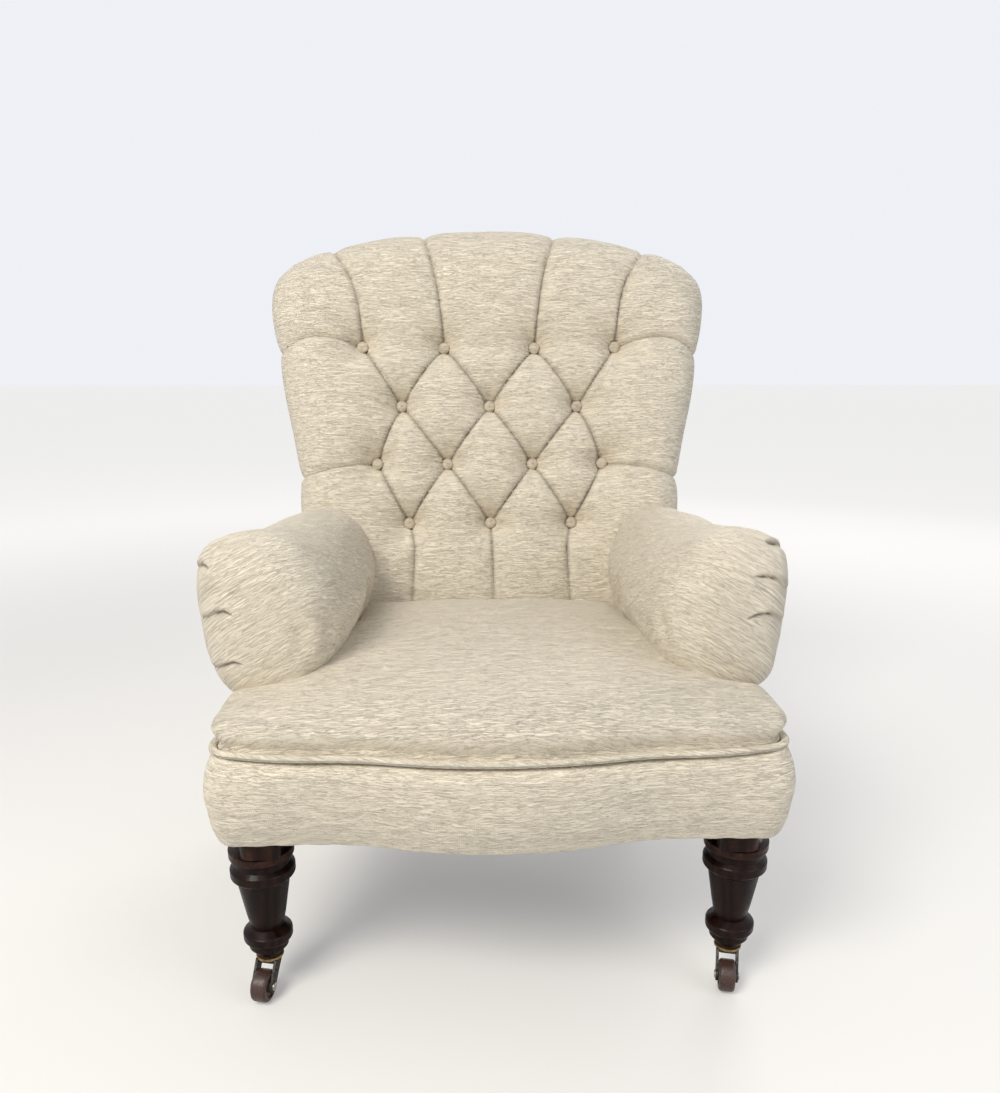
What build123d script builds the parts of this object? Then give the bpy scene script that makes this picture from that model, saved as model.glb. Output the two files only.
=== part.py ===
from build123d import *
from math import atan2, cos, degrees, hypot, radians, sin
import os

os.makedirs("parts", exist_ok=True)

# A low button back armchair on castors. It stands on z = 0 and faces -Y, so the
# sitter's left is at +X. The origin lies on the floor, midway between the front
# of the seat and the rear of the crest. All lengths are in millimetres.

# Seat: plan, levels and the swell of its padded front
seat_width = 662
seat_taper = 62
seat_depth = 623
seat_corner_radius = 30
rail_foot_level = 235
rail_top_level = 310
swell_level = 298
border_top_level = 342
seat_edge_level = 350
seat_corner_level = 371
seat_crown_level = 411
foot_narrowing = 9
swell_widening = 11
foot_setbacks = (15, 43, 38)
swell_setbacks = (0, 26, 28)
top_setbacks = (3, 24, 46)
hollow_spread = 205
shoulder_spread = 125
seat_edge_rounding = 20
seat_crown_setback = 250

# Seat frame
border_thickness = 12
rail_thickness = 28
leg_block_width = 60
leg_block_depth = 72
brace_thickness = 20
brace_height = 50
brace_drop = 12
# Ends of each brace, as shares of the seat's half width and of its depth
front_brace_shares = ((0.453, 0.059), (1.027, 0.383))
rear_brace_shares = ((1.027, 0.701), (0.363, 0.987))
tacking_rail_height = 84
tacking_rail_width = 40

# Back: its plane leans away from the seat
back_lean = 13.5
back_foot_level = 300
back_height = 662
back_shoulder_height = 600
back_waist_height = 250
back_foot_inset = 10
back_waist_flare = 42
back_shoulder_flare = 130
back_corner_radius = 105
shoulder_inset_shares = (1.1, 0.69)
back_thickness = 126
back_front_rounding = 58
back_wrap = 14
back_timber = 42
back_stile_width = 44
crest_joint_height = 545
back_panel_thickness = 4
back_panel_margin = 2
back_webbing_thickness = 2
back_canvas_thickness = 1.5
back_strap_counts = (4, 4)
back_strap_spread = 104
back_strap_rise = 110

# Deep buttoning: shares of the back's height and of half its shoulder width
button_row_shares = (
    (0.716, (-0.572, -0.206, 0.206, 0.572)),
    (0.574, (-0.4, 0, 0.4)),
    (0.432, (-0.514, -0.194, 0.194, 0.514)),
    (0.286, (-0.372, 0, 0.372)),
)
top_fold_shares = ((-0.711, 0.949), (-0.303, 0.985), (0.303, 0.985), (0.711, 0.949))
side_fold_shares = ((0.944, 0.683), (0.861, 0.396))
bottom_fold_height = 40
button_depth = 48
button_radius = 9
button_height = 5
tuft_radius = 27
tuft_foot_radius = 10.5
tuft_waist_shares = (0.55, 0.5)
dome_share = 0.8
fold_half_width = 13
fold_depth = 25
fold_waist_shares = (0.32, 0.42)
fold_clearance = 30
fold_reach_share = 0.25
edge_fold_fall = 34
twine_radius = 1
twine_hole_radius = 1.5

# Arms: a fat padded roll on a post and a rail, with a padded outside panel
arm_timber_inset = 47
arm_timber_width = 32
arm_post_centre_y = -95
arm_post_depth = 40
arm_rail_height = 32
arm_rail_level = 478
arm_rail_front = -205
arm_front = -222
arm_panel_level = 430
arm_panel_lean = 16.5
# Inner edge of the arm: shares of the seat's half width and of its depth
arm_foot_level_shares = ((0.767, 0.480), (0.653, 0.752))
arm_flare_level = 442
arm_flare_level_shares = ((0.683, 0.464), (0.604, 0.752))
arm_roll_setback = 125
arm_roll_rear_setback = 29
arm_roll_inset = 26
arm_roll_level = 473
arm_roll_width = 178
arm_roll_height = 196
arm_roll_radius = 84
# Each section's place along, spread, level, width, height and corner radius
arm_roll_shares = (
    (0, 1, 0.968, 0.348, 0.510, 0.321),
    (0.023, 0.984, 0.970, 0.652, 0.816, 0.643),
    (0.081, 0.954, 0.977, 0.843, 1, 0.857),
    (0.200, 0.921, 0.989, 0.966, 0.969, 0.976),
    (0.371, 0.902, 1, 1, 0.888, 1),
    (0.606, 0.885, 0.989, 0.910, 0.837, 0.929),
    (0.840, 0.862, 0.977, 0.798, 0.816, 0.810),
    (1, 0.839, 0.968, 0.674, 0.776, 0.690),
)
# Pulled-in tufts and one button low on the inner face: shares of the seat's depth
# and of the roll's level
arm_tuft_shares = ((0.524, 0.863), (0.409, 0.896))
arm_tuft_radius = 26
arm_tuft_depth = 9
arm_button_shares = (0.669, 0.896)
arm_button_recess = 11
arm_button_well_radius = 17
# Pleats at the outer corner of the arm front: shares of the roll's level, and of
# its spread and length at their two ends
arm_pleat_level_shares = (0.85, 1, 1.104)
arm_pleat_front_shares = (1.043, -0.009)
arm_pleat_rear_shares = (1.193, 0.145)
arm_pleat_half_width = 6
arm_pleat_depth = 13

# Turned front legs
front_leg_inset = 41
front_leg_setback = 93
leg_head_level = 205
leg_ring_radius = 39
leg_collar_radius = 30
# Steps of the turning below the head: shares of the ring's radius and of the
# turned height, down to the foot
leg_outline_shares = (
    (0.795, 1),
    (1, 0.981),
    (1, 0.916),
    (0.859, 0.890),
    (0.859, 0.844),
    (1, 0.812),
    (1, 0.747),
    (0.821, 0.708),
    (0.795, 0.669),
    (0.615, 0.396),
    (0.513, 0.273),
)
# Steps of the foot: shares of the collar's radius and of the turned height
leg_foot_shares = (
    (1, 0.227),
    (1, 0.162),
    (0.8, 0.130),
    (0.8, 0.084),
    (0.567, 0.045),
    (0.517, 0),
)
leg_rim_rounding = 3.5

# Rear legs, raked backwards, cut in one with the uprights of the back
rear_leg_inset = 33
rear_leg_rake = 72
rear_leg_foot_side = 30
rear_leg_ankle_radius = 15.5
rear_leg_ankle_height = 14

# Castors
castor_height = 51
wheel_radius = 19.5
wheel_width = 20
wheel_rounding = 4
wheel_hub_radius = 8
wheel_dish_radius = 14
wheel_hub_dish = 1.5
wheel_side_gap = 0.6
castor_trail = 24
castor_heading = 13
axle_radius = 3
axle_gap = 0.05
axle_head_radius = 5
axle_head_height = 1.6
fork_cheek_thickness = 3
fork_cheek_end_radius = 8
fork_corner_share = 0.5
fork_cheek_rear_share = -0.55
fork_cheek_front_share = 0.9
fork_disc_radius = 14
fork_disc_thickness = 4
plate_radius = 17
plate_thickness = 3
pintle_radius = 4
pintle_depth = 34
rivet_radius = 3.5
rivet_head_radius = 6
rivet_head_height = 1.5
castor_face_gap = 0.15

# Seat filling and cloths
webbing_width = 50
webbing_thickness = 2
webbing_hold = 16
webbing_spread = 92
webbing_counts = (5, 4)
spring_counts = (3, 3)
spring_spread = (128, 130)
spring_end_radius = 40
spring_waist_radius = 26
spring_wire = 4
canvas_thickness = 1.5
dust_cover_thickness = 1.5
piping_radius = 4
fit_gap = 0.3
cut_overrun = 700

# Places that follow from the sizes above
seat_rear_width = seat_width - seat_taper
back_foot_width = seat_rear_width - back_foot_inset
back_waist_width = back_foot_width + back_waist_flare
back_shoulder_width = back_foot_width + back_shoulder_flare
front_leg_spread = seat_width / 2 - front_leg_inset
rear_leg_spread = back_foot_width / 2 - rear_leg_inset
arm_timber_centre = seat_width / 2 - arm_timber_inset
arm_roll_spread = seat_width / 2 - arm_roll_inset
lean = radians(back_lean)
overall_depth = seat_depth + back_height * sin(lean)
seat_front = -overall_depth / 2
back_foot = seat_front + seat_depth
back_plane = Plane(
    origin=(0, back_foot, back_foot_level),
    x_dir=(1, 0, 0),
    z_dir=(0, -cos(lean), sin(lean)),
)
frame_front = back_panel_thickness + back_timber
pad_rear = frame_front + back_webbing_thickness + back_canvas_thickness
back_drop = (back_foot_level - rail_foot_level + frame_front * sin(lean)) / cos(lean)
canvas_top = rail_top_level + canvas_thickness
rail_inset = border_thickness + rail_thickness
foot_half_width = seat_width / 2 - foot_narrowing
foot_corner_y = seat_front + foot_setbacks[2]
side_start_y = foot_corner_y + border_thickness
side_slope = (foot_half_width - seat_rear_width / 2) / (back_foot - border_thickness - side_start_y)
block_inner_x = front_leg_spread - leg_block_width / 2
block_rear_y = foot_corner_y + border_thickness + leg_block_depth
front_leg_y = seat_front + front_leg_setback
post_outer_x = back_foot_width / 2 - back_wrap
post_inner_x = post_outer_x - back_stile_width
leg_turned_height = leg_head_level - castor_height
arm_roll_front = seat_front + arm_roll_setback
arm_roll_length = back_foot - arm_roll_rear_setback - arm_roll_front
button_rows = [
    (height * back_height, [x * back_shoulder_width / 2 for x in row]) for height, row in button_row_shares
]


def write_piece(piece, name):
    """Label a finished piece and write it under its own name."""
    piece.part.label = name
    export_step(piece.part, f"parts/{name}.step")


def write_pair(piece, name):
    """Write a piece of the sitter's left side and its mirror image."""
    write_piece(piece, name + "_left")
    with BuildPart() as twin:
        mirror(piece.part, about=Plane.YZ)
    write_piece(twin, name + "_right")


def seat_spot(across_share, along_share):
    """A place on the seat's plan, by shares of its half width and of its depth."""
    return Vector(across_share * seat_width / 2, seat_front + along_share * seat_depth)


def seat_face(half_width, setbacks, inset=0):
    """Plan of the seat at one level, drawn in all round, with its serpentine front."""
    bow_y, hollow_y, corner_y = (seat_front + setback + inset for setback in setbacks)
    shoulder_share = shoulder_spread / hollow_spread
    shoulder_y = bow_y + (hollow_y - bow_y) * shoulder_share
    corner_x = half_width - inset
    rear = (seat_rear_width / 2 - inset, back_foot - inset)
    with BuildSketch() as plan:
        with BuildLine():
            ThreePointArc((-shoulder_spread, shoulder_y), (0, bow_y), (shoulder_spread, shoulder_y))
            for side in (1, -1):
                hollow = (side * hollow_spread, hollow_y)
                corner = (side * corner_x, corner_y)
                TangentArc(hollow, (side * shoulder_spread, shoulder_y), tangent=(-side, 0))
                TangentArc(hollow, corner, tangent=(side, 0))
                Line(corner, (side * rear[0], rear[1]))
            Line(rear, (-rear[0], rear[1]))
        make_face()
        if inset < seat_corner_radius:
            corners = [v for v in plan.vertices() if abs(abs(v.X) - corner_x) < fit_gap]
            fillet(corners, radius=seat_corner_radius - inset)
    return plan.sketch


def foot_face(inset=0):
    """Plan of the seat at the foot of its rails."""
    return seat_face(foot_half_width, foot_setbacks, inset)


def swell_face(inset=0):
    """Plan of the seat where its front swells most."""
    return seat_face(seat_width / 2 + swell_widening, swell_setbacks, inset)


def top_face(inset=0):
    """Plan of the seat at its piping."""
    return seat_face(seat_width / 2, top_setbacks, inset)


def back_face(inset=0):
    """Front view of the back in its own plane, drawn in at its sides and top."""
    foot_half = back_foot_width / 2 - inset
    waist_half = back_waist_width / 2 - inset
    shoulder_half = back_shoulder_width / 2 - inset * shoulder_inset_shares[0]
    shoulder_height = back_shoulder_height - inset * shoulder_inset_shares[1]
    with BuildSketch() as view:
        with BuildLine():
            for side in (1, -1):
                foot_corner = (side * foot_half, 0)
                waist = (side * waist_half, back_waist_height)
                ThreePointArc(foot_corner, waist, (side * shoulder_half, shoulder_height))
                Line(foot_corner, (side * foot_half, -back_drop))
            Line((-foot_half, -back_drop), (foot_half, -back_drop))
            ThreePointArc(
                (shoulder_half, shoulder_height),
                (0, back_height - inset),
                (-shoulder_half, shoulder_height),
            )
        make_face()
        shoulders = [v for v in view.vertices() if abs(v.Y - shoulder_height) < fit_gap]
        fillet(shoulders, radius=back_corner_radius - inset)
    return view.sketch


def prism(face, low, high, mode=Mode.ADD):
    """A plan drawn at the floor, raised between two levels."""
    with BuildSketch(Plane.XY.offset(low)) as plan:
        add(face)
    extrude(plan.sketch, amount=high - low, mode=mode)


def back_slab(face, rear, front, mode=Mode.ADD):
    """A view of the back, thickened between two depths within it."""
    with BuildSketch(back_plane.offset(rear)) as view:
        add(face)
    extrude(view.sketch, amount=front - rear, mode=mode)


def box_between(low, high, mode=Mode.ADD):
    """A box between two opposite corners."""
    with Locations(tuple((a + b) / 2 for a, b in zip(low, high))):
        Box(*(b - a for a, b in zip(low, high)), mode=mode)


def keep_between(low, high):
    """Keep only what lies between two levels."""
    box_between((-cut_overrun, -cut_overrun, low), (cut_overrun, cut_overrun, high), Mode.INTERSECT)


def cut_behind(depth):
    """Cut away all that lies further back than a depth within the back."""
    with BuildSketch(back_plane.offset(depth)) as cut:
        Rectangle(4 * cut_overrun, 4 * cut_overrun)
    extrude(cut.sketch, amount=-cut_overrun, mode=Mode.SUBTRACT)


# Front legs: turned, with a block above that the rails are jointed to
with BuildPart() as front_leg:
    prism(foot_face(border_thickness), leg_head_level, rail_top_level)
    box_between(
        (block_inner_x, seat_front, 0),
        (cut_overrun, block_rear_y, rail_top_level),
        Mode.INTERSECT,
    )
    leg_axis = Plane(origin=(front_leg_spread, front_leg_y, 0), x_dir=(1, 0, 0), z_dir=(0, -1, 0))
    leg_outline = [(0, leg_head_level)]
    for widest, steps in ((leg_ring_radius, leg_outline_shares), (leg_collar_radius, leg_foot_shares)):
        for radius, level in steps:
            leg_outline.append((widest * radius, castor_height + leg_turned_height * level))
    with BuildSketch(leg_axis):
        with BuildLine():
            Polyline(*leg_outline, (0, castor_height), close=True)
        make_face()
    revolve(axis=Axis((front_leg_spread, front_leg_y, 0), (0, 0, 1)))
    rims = front_leg.edges().filter_by(GeomType.CIRCLE)
    rims = rims.filter_by(lambda e: e.radius in (leg_ring_radius, leg_collar_radius))
    fillet(rims.sort_by(Axis.Z)[:-1], radius=leg_rim_rounding)
    with Locations((front_leg_spread, front_leg_y, castor_height + pintle_depth / 2)):
        Cylinder(pintle_radius, pintle_depth, mode=Mode.SUBTRACT)
write_pair(front_leg, "front_leg")

# Back posts: each upright and its raked rear leg are cut from one board
post_foot_rear = back_foot - (back_foot_level - rail_foot_level) * sin(lean) / cos(lean)
post_foot_rear -= back_panel_thickness / cos(lean)
post_foot_depth = back_timber / cos(lean)
post_foot_y = post_foot_rear - post_foot_depth / 2
rear_leg_y = post_foot_y + rear_leg_rake
rear_ankle_level = castor_height + rear_leg_ankle_height
with BuildPart() as back_post:
    with BuildSketch(back_plane.offset(back_panel_thickness)):
        add(back_face(back_wrap))
        add(back_face(back_wrap + back_stile_width), mode=Mode.SUBTRACT)
        with Locations((cut_overrun, crest_joint_height - cut_overrun)):
            Rectangle(2 * cut_overrun, 2 * cut_overrun, mode=Mode.INTERSECT)
        with Locations((0, -back_drop)):
            Rectangle(2 * post_inner_x, 2 * back_drop, mode=Mode.SUBTRACT)
    extrude(amount=back_timber)
    keep_between(rail_foot_level, 2 * cut_overrun + rail_foot_level)
    with BuildSketch(Plane.XY.offset(rail_foot_level)):
        with Locations(((post_inner_x + post_outer_x) / 2, post_foot_y)):
            Rectangle(back_stile_width, post_foot_depth)
    with BuildSketch(Plane.XY.offset(rear_ankle_level)):
        with Locations((rear_leg_spread, rear_leg_y)):
            Rectangle(rear_leg_foot_side, rear_leg_foot_side)
    loft(ruled=True)
    with BuildSketch(Plane.XY.offset(castor_height)):
        with Locations((rear_leg_spread, rear_leg_y)):
            Circle(rear_leg_ankle_radius)
    extrude(amount=rear_leg_ankle_height)
    with Locations((rear_leg_spread, rear_leg_y, castor_height + pintle_depth / 2)):
        Cylinder(pintle_radius, pintle_depth, mode=Mode.SUBTRACT)
write_pair(back_post, "back_post")

# Crest rail: the bowed top of the back frame
with BuildPart() as crest_rail:
    with BuildSketch(back_plane.offset(back_panel_thickness)):
        add(back_face(back_wrap))
        add(back_face(back_wrap + back_stile_width), mode=Mode.SUBTRACT)
        with Locations((0, crest_joint_height + cut_overrun)):
            Rectangle(4 * cut_overrun, 2 * cut_overrun, mode=Mode.INTERSECT)
    extrude(amount=back_timber)
write_piece(crest_rail, "crest_rail")

# Tacking rail: crosses the back just above the seat
with BuildPart() as tacking_rail:
    with BuildSketch(back_plane.offset(back_panel_thickness)):
        add(back_face(back_wrap + back_stile_width))
        with Locations((0, tacking_rail_height)):
            Rectangle(2 * cut_overrun, tacking_rail_width, mode=Mode.INTERSECT)
    extrude(amount=back_timber)
write_piece(tacking_rail, "back_tacking_rail")

# Seat rails: front, back and two sides round the webbing and springs
with BuildPart() as front_seat_rail:
    prism(foot_face(border_thickness), rail_foot_level, rail_top_level)
    prism(foot_face(rail_inset), rail_foot_level, rail_top_level, Mode.SUBTRACT)
    box_between(
        (-block_inner_x, seat_front, 0),
        (block_inner_x, block_rear_y, rail_top_level),
        Mode.INTERSECT,
    )
write_piece(front_seat_rail, "front_seat_rail")

with BuildPart() as side_seat_rail:
    prism(foot_face(border_thickness), rail_foot_level, rail_top_level)
    prism(foot_face(rail_inset), rail_foot_level, rail_top_level, Mode.SUBTRACT)
    box_between((post_inner_x, block_rear_y, 0), (cut_overrun, back_foot, rail_top_level), Mode.INTERSECT)
    cut_behind(frame_front)
write_pair(side_seat_rail, "side_seat_rail")

with BuildPart() as back_seat_rail:
    with BuildSketch(back_plane.offset(back_panel_thickness)):
        Rectangle(2 * post_inner_x, 4 * back_drop)
    extrude(amount=back_timber)
    keep_between(rail_foot_level, rail_top_level)
write_piece(back_seat_rail, "back_seat_rail")

# Corner braces: one board across each corner of the seat frame
with BuildPart() as corner_braces:
    with BuildSketch(Plane.XY.offset(rail_top_level - brace_drop - brace_height)):
        for side in (1, -1):
            for shares in (front_brace_shares, rear_brace_shares):
                start, end = (seat_spot(side * across, along) for across, along in shares)
                across = end - start
                middle = start + across / 2
                with Locations((middle.X, middle.Y)):
                    slope = degrees(atan2(across.Y, across.X))
                    Rectangle(across.length, brace_thickness, rotation=slope)
        add(foot_face(rail_inset), mode=Mode.INTERSECT)
        clear_x = block_inner_x + cut_overrun - fit_gap
        clear_y = block_rear_y - cut_overrun + fit_gap
        with Locations((clear_x, clear_y), (-clear_x, clear_y)):
            Rectangle(2 * cut_overrun, 2 * cut_overrun, mode=Mode.SUBTRACT)
    extrude(amount=brace_height)
    cut_behind(frame_front)
write_piece(corner_braces, "corner_braces")


def webbing_straps(count, spacing, turn, level):
    """One layer of parallel straps, cut to end under the rails."""
    middle = (seat_front + back_foot) / 2
    with BuildSketch(Plane.XY.offset(level)) as straps:
        for strap in range(count):
            step = (strap - (count - 1) / 2) * spacing
            place = (0, middle + step) if turn else (step, middle)
            with Locations(place):
                Rectangle(2 * cut_overrun, webbing_width, rotation=0 if turn else 90)
        add(foot_face(rail_inset - webbing_hold), mode=Mode.INTERSECT)
    extrude(straps.sketch, amount=webbing_thickness)
    cut_behind(frame_front - webbing_hold)


# Webbing: straps tacked under the rails, one set across the other
with BuildPart() as cross_webbing:
    webbing_straps(webbing_counts[1], webbing_spread, True, rail_foot_level - webbing_thickness)
write_piece(cross_webbing, "seat_webbing_crosswise")

with BuildPart() as long_webbing:
    webbing_straps(webbing_counts[0], webbing_spread, False, rail_foot_level - 2 * webbing_thickness)
write_piece(long_webbing, "seat_webbing_lengthwise")

# Springs: nine waisted coils, drawn as waisted sleeves of the wire's thickness
spring_centre_y = (seat_front + back_foot - frame_front) / 2
spring_middle = (rail_foot_level + rail_top_level) / 2
with BuildPart() as spring:
    with BuildSketch(Plane.XZ):
        with BuildLine():
            ThreePointArc(
                (spring_end_radius, rail_foot_level),
                (spring_waist_radius, spring_middle),
                (spring_end_radius, rail_top_level),
            )
            ThreePointArc(
                (spring_end_radius - spring_wire, rail_foot_level),
                (spring_waist_radius - spring_wire, spring_middle),
                (spring_end_radius - spring_wire, rail_top_level),
            )
            for level in (rail_foot_level, rail_top_level):
                Line((spring_end_radius, level), (spring_end_radius - spring_wire, level))
        make_face()
    revolve(axis=Axis.Z)
with BuildPart() as seat_springs:
    with Locations((0, spring_centre_y)):
        with GridLocations(*spring_spread, *spring_counts):
            add(spring.part)
write_piece(seat_springs, "seat_springs")

# Arm frames: a post stands on each side rail and carries the arm rail
arm_x_low = arm_timber_centre - arm_timber_width / 2
arm_x_high = arm_timber_centre + arm_timber_width / 2
with BuildPart() as arm_post:
    box_between(
        (arm_x_low, arm_post_centre_y - arm_post_depth / 2, rail_top_level),
        (arm_x_high, arm_post_centre_y + arm_post_depth / 2, arm_rail_level),
    )
write_pair(arm_post, "arm_post")

with BuildPart() as arm_rail:
    box_between(
        (arm_x_low, arm_rail_front, arm_rail_level),
        (arm_x_high, cut_overrun, arm_rail_level + arm_rail_height),
    )
    cut_behind(frame_front)
write_pair(arm_rail, "arm_rail")

# Canvas: lies over the springs and the tops of the rails
with BuildPart() as seat_canvas:
    prism(foot_face(border_thickness), rail_top_level, canvas_top)
    cut_behind(frame_front)
    for half in (arm_post.part, arm_post.part.mirror(Plane.YZ)):
        add(half, mode=Mode.SUBTRACT)
write_piece(seat_canvas, "seat_canvas")

# Dust cover: thin cloth under the webbing, cut round the legs
with BuildPart() as dust_cover:
    cover_top = rail_foot_level - 2 * webbing_thickness
    prism(foot_face(rail_inset - webbing_hold), cover_top - dust_cover_thickness, cover_top)
    cut_behind(frame_front - webbing_hold)
    for side in (1, -1):
        for inner_x, low_y, high_y in (
            (block_inner_x, seat_front, block_rear_y),
            (post_inner_x, post_foot_y - back_timber, back_foot),
        ):
            edges_x = sorted((side * (inner_x - fit_gap), side * cut_overrun))
            box_between(
                (edges_x[0], low_y - fit_gap, 0),
                (edges_x[1], high_y + fit_gap, rail_top_level),
                Mode.SUBTRACT,
            )
write_piece(dust_cover, "dust_cover")

# Back: webbing and canvas across the front of its frame
with BuildPart() as back_webbing:
    with BuildSketch(back_plane.offset(frame_front)):
        for strap in range(back_strap_counts[0]):
            step = (strap - (back_strap_counts[0] - 1) / 2) * back_strap_spread
            with Locations((step, back_waist_height)):
                Rectangle(webbing_width, 2 * cut_overrun)
        for strap in range(back_strap_counts[1]):
            with Locations((0, tacking_rail_height + (strap + 1) * back_strap_rise)):
                Rectangle(2 * cut_overrun, webbing_width)
        add(back_face(back_wrap + back_stile_width - webbing_hold), mode=Mode.INTERSECT)
    extrude(amount=back_webbing_thickness)
    keep_between(rail_top_level + webbing_hold, 2 * cut_overrun)
    for half in (arm_rail.part, arm_rail.part.mirror(Plane.YZ)):
        add(half, mode=Mode.SUBTRACT)
write_piece(back_webbing, "back_webbing")

with BuildPart() as back_canvas:
    back_slab(back_face(back_wrap), frame_front + back_webbing_thickness, pad_rear)
    keep_between(canvas_top, 2 * cut_overrun)
    for half in (arm_rail.part, arm_rail.part.mirror(Plane.YZ)):
        add(half, mode=Mode.SUBTRACT)
write_piece(back_canvas, "back_canvas")

# Back pad: deep buttoned, wrapped round the frame of the back
with BuildPart() as back_form:
    back_slab(back_face(), back_panel_thickness, back_thickness)
    depth_axis = Axis(back_plane.origin, back_plane.z_dir)
    rim = back_form.faces().filter_by(back_plane).sort_by(depth_axis)[-1].edges()
    fillet(rim.filter_by(lambda e: e.center().Z > rail_top_level), radius=back_front_rounding)

button_spots = [(x, height) for height, row in button_rows for x in row]
button_seats = [
    back_plane.offset(back_thickness - button_depth).location * Location((x, height, 0))
    for x, height in button_spots
]

# A tuft is the round well that a button pulls into the pad
with BuildPart() as tuft:
    with BuildSketch(Plane.XZ):
        with BuildLine():
            Polyline(
                (tuft_foot_radius, 0),
                (0, 0),
                (0, 2 * button_depth),
                (tuft_radius, 2 * button_depth),
                (tuft_radius, button_depth),
            )
            ThreePointArc(
                (tuft_radius, button_depth),
                (tuft_radius * tuft_waist_shares[0], button_depth * tuft_waist_shares[1]),
                (tuft_foot_radius, 0),
            )
        make_face()
    revolve(axis=Axis.Z)

with BuildPart() as button:
    Cylinder(button_radius, button_height, align=(Align.CENTER, Align.CENTER, Align.MIN))
    dome_edge = button.edges().sort_by(Axis.Z)[-1]
    fillet(dome_edge, radius=button_height * dome_share)


def fold(start, end, half_width, depth, outward):
    """Cut a sewn fold, sharp at its foot with puffed lips, along a straight line."""
    along = Vector(end) - Vector(start)
    section_plane = Plane(origin=start, x_dir=outward.cross(along), z_dir=along)
    waist = (half_width * fold_waist_shares[0], -depth * fold_waist_shares[1])
    with BuildSketch(section_plane) as section:
        with BuildLine():
            Polyline(
                (half_width, 0),
                (half_width, fold_clearance),
                (-half_width, fold_clearance),
                (-half_width, 0),
            )
            ThreePointArc((-half_width, 0), (-waist[0], waist[1]), (0, -depth))
            ThreePointArc((0, -depth), waist, (half_width, 0))
        make_face()
    extrude(section.sketch, amount=along.length, mode=Mode.SUBTRACT)


def back_spot(across_share, up_share):
    """A place on the back, by shares of half its shoulder width and of its height."""
    return (across_share * back_shoulder_width / 2, up_share * back_height)


def back_fold(start, end, fall=0):
    """A fold of the back pad between two spots, falling away towards its end."""
    front = back_plane.offset(back_thickness)
    fold(
        front.from_local_coords(Vector(*start, 0)),
        front.from_local_coords(Vector(*end, -fall)),
        fold_half_width,
        fold_depth,
        back_plane.z_dir,
    )


with BuildPart() as back_pad:
    add(back_form.part)
    keep_between(canvas_top, 2 * cut_overrun)
    back_slab(back_face(back_wrap), 0, pad_rear, Mode.SUBTRACT)
    for half in (arm_rail.part, arm_rail.part.mirror(Plane.YZ)):
        add(half, mode=Mode.SUBTRACT)
    for (upper_height, upper_row), (lower_height, lower_row) in zip(button_rows, button_rows[1:]):
        for upper_x in upper_row:
            for lower_x in lower_row:
                if abs(lower_x - upper_x) < fold_reach_share * back_shoulder_width / 2:
                    back_fold((upper_x, upper_height), (lower_x, lower_height))
    top_height, top_row = button_rows[0]
    for x, end in zip(top_row, top_fold_shares):
        back_fold((x, top_height), back_spot(*end), edge_fold_fall)
    for (height, row), end in zip(button_rows[::2], side_fold_shares):
        for side in (1, -1):
            back_fold((side * row[-1], height), back_spot(side * end[0], end[1]), edge_fold_fall)
    bottom_height, bottom_row = button_rows[-1]
    for x in bottom_row:
        back_fold((x, bottom_height), (x, bottom_fold_height))
    with Locations(*button_seats):
        add(tuft.part, mode=Mode.SUBTRACT)
        Cylinder(twine_hole_radius, 2 * back_thickness, mode=Mode.SUBTRACT)
write_piece(back_pad, "back_pad")

with BuildPart() as back_buttons:
    with Locations(*button_seats):
        add(button.part)
write_piece(back_buttons, "back_buttons")

# Twines: tie each button through the pad to the canvas
twine_length = back_thickness - button_depth - pad_rear
with BuildPart() as button_twines:
    with Locations(*button_seats):
        Cylinder(twine_radius, twine_length, align=(Align.CENTER, Align.CENTER, Align.MAX))
write_piece(button_twines, "button_twines")

# Outside back: a flat padded panel from the crest down to the foot of the rail
with BuildPart() as outside_back:
    back_slab(back_face(back_panel_margin), 0, back_panel_thickness)
    keep_between(rail_foot_level, 2 * cut_overrun)
write_piece(outside_back, "outside_back_panel")

# Arms: a fat roll over the arm rail, drawn in to a narrow foot on the side rail


def arm_side_x(y, level):
    """Outer face of the arm's outside panel, which leans out a little."""
    foot_x = foot_half_width - side_slope * (y - side_start_y)
    return foot_x + arm_panel_lean * (level - rail_foot_level) / (arm_panel_level - rail_foot_level)


def arm_roll_y(along_share):
    """A place along the arm's roll, by a share of its length."""
    return arm_roll_front + along_share * arm_roll_length


def arm_inner_spot(along_share, level_share):
    """The point of the arm's inner face at shares of the seat's depth and the roll's level."""
    y = seat_front + along_share * seat_depth
    level = level_share * arm_roll_level
    probe = Edge.make_line((0, y, level), (seat_width, y, level))
    inside = arm_pad.part.intersect(probe).edges()
    return Vector(min(edge.bounding_box().min.X for edge in inside), y, level)


with BuildPart() as arm_roll:
    for along, spread, level, width, height, radius in arm_roll_shares:
        centre = (spread * arm_roll_spread, arm_roll_y(along), level * arm_roll_level)
        with BuildSketch(Plane(origin=centre, x_dir=(1, 0, 0), z_dir=(0, -1, 0))):
            RectangleRounded(
                width * arm_roll_width, height * arm_roll_height, radius * arm_roll_radius
            )
    loft()

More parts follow.
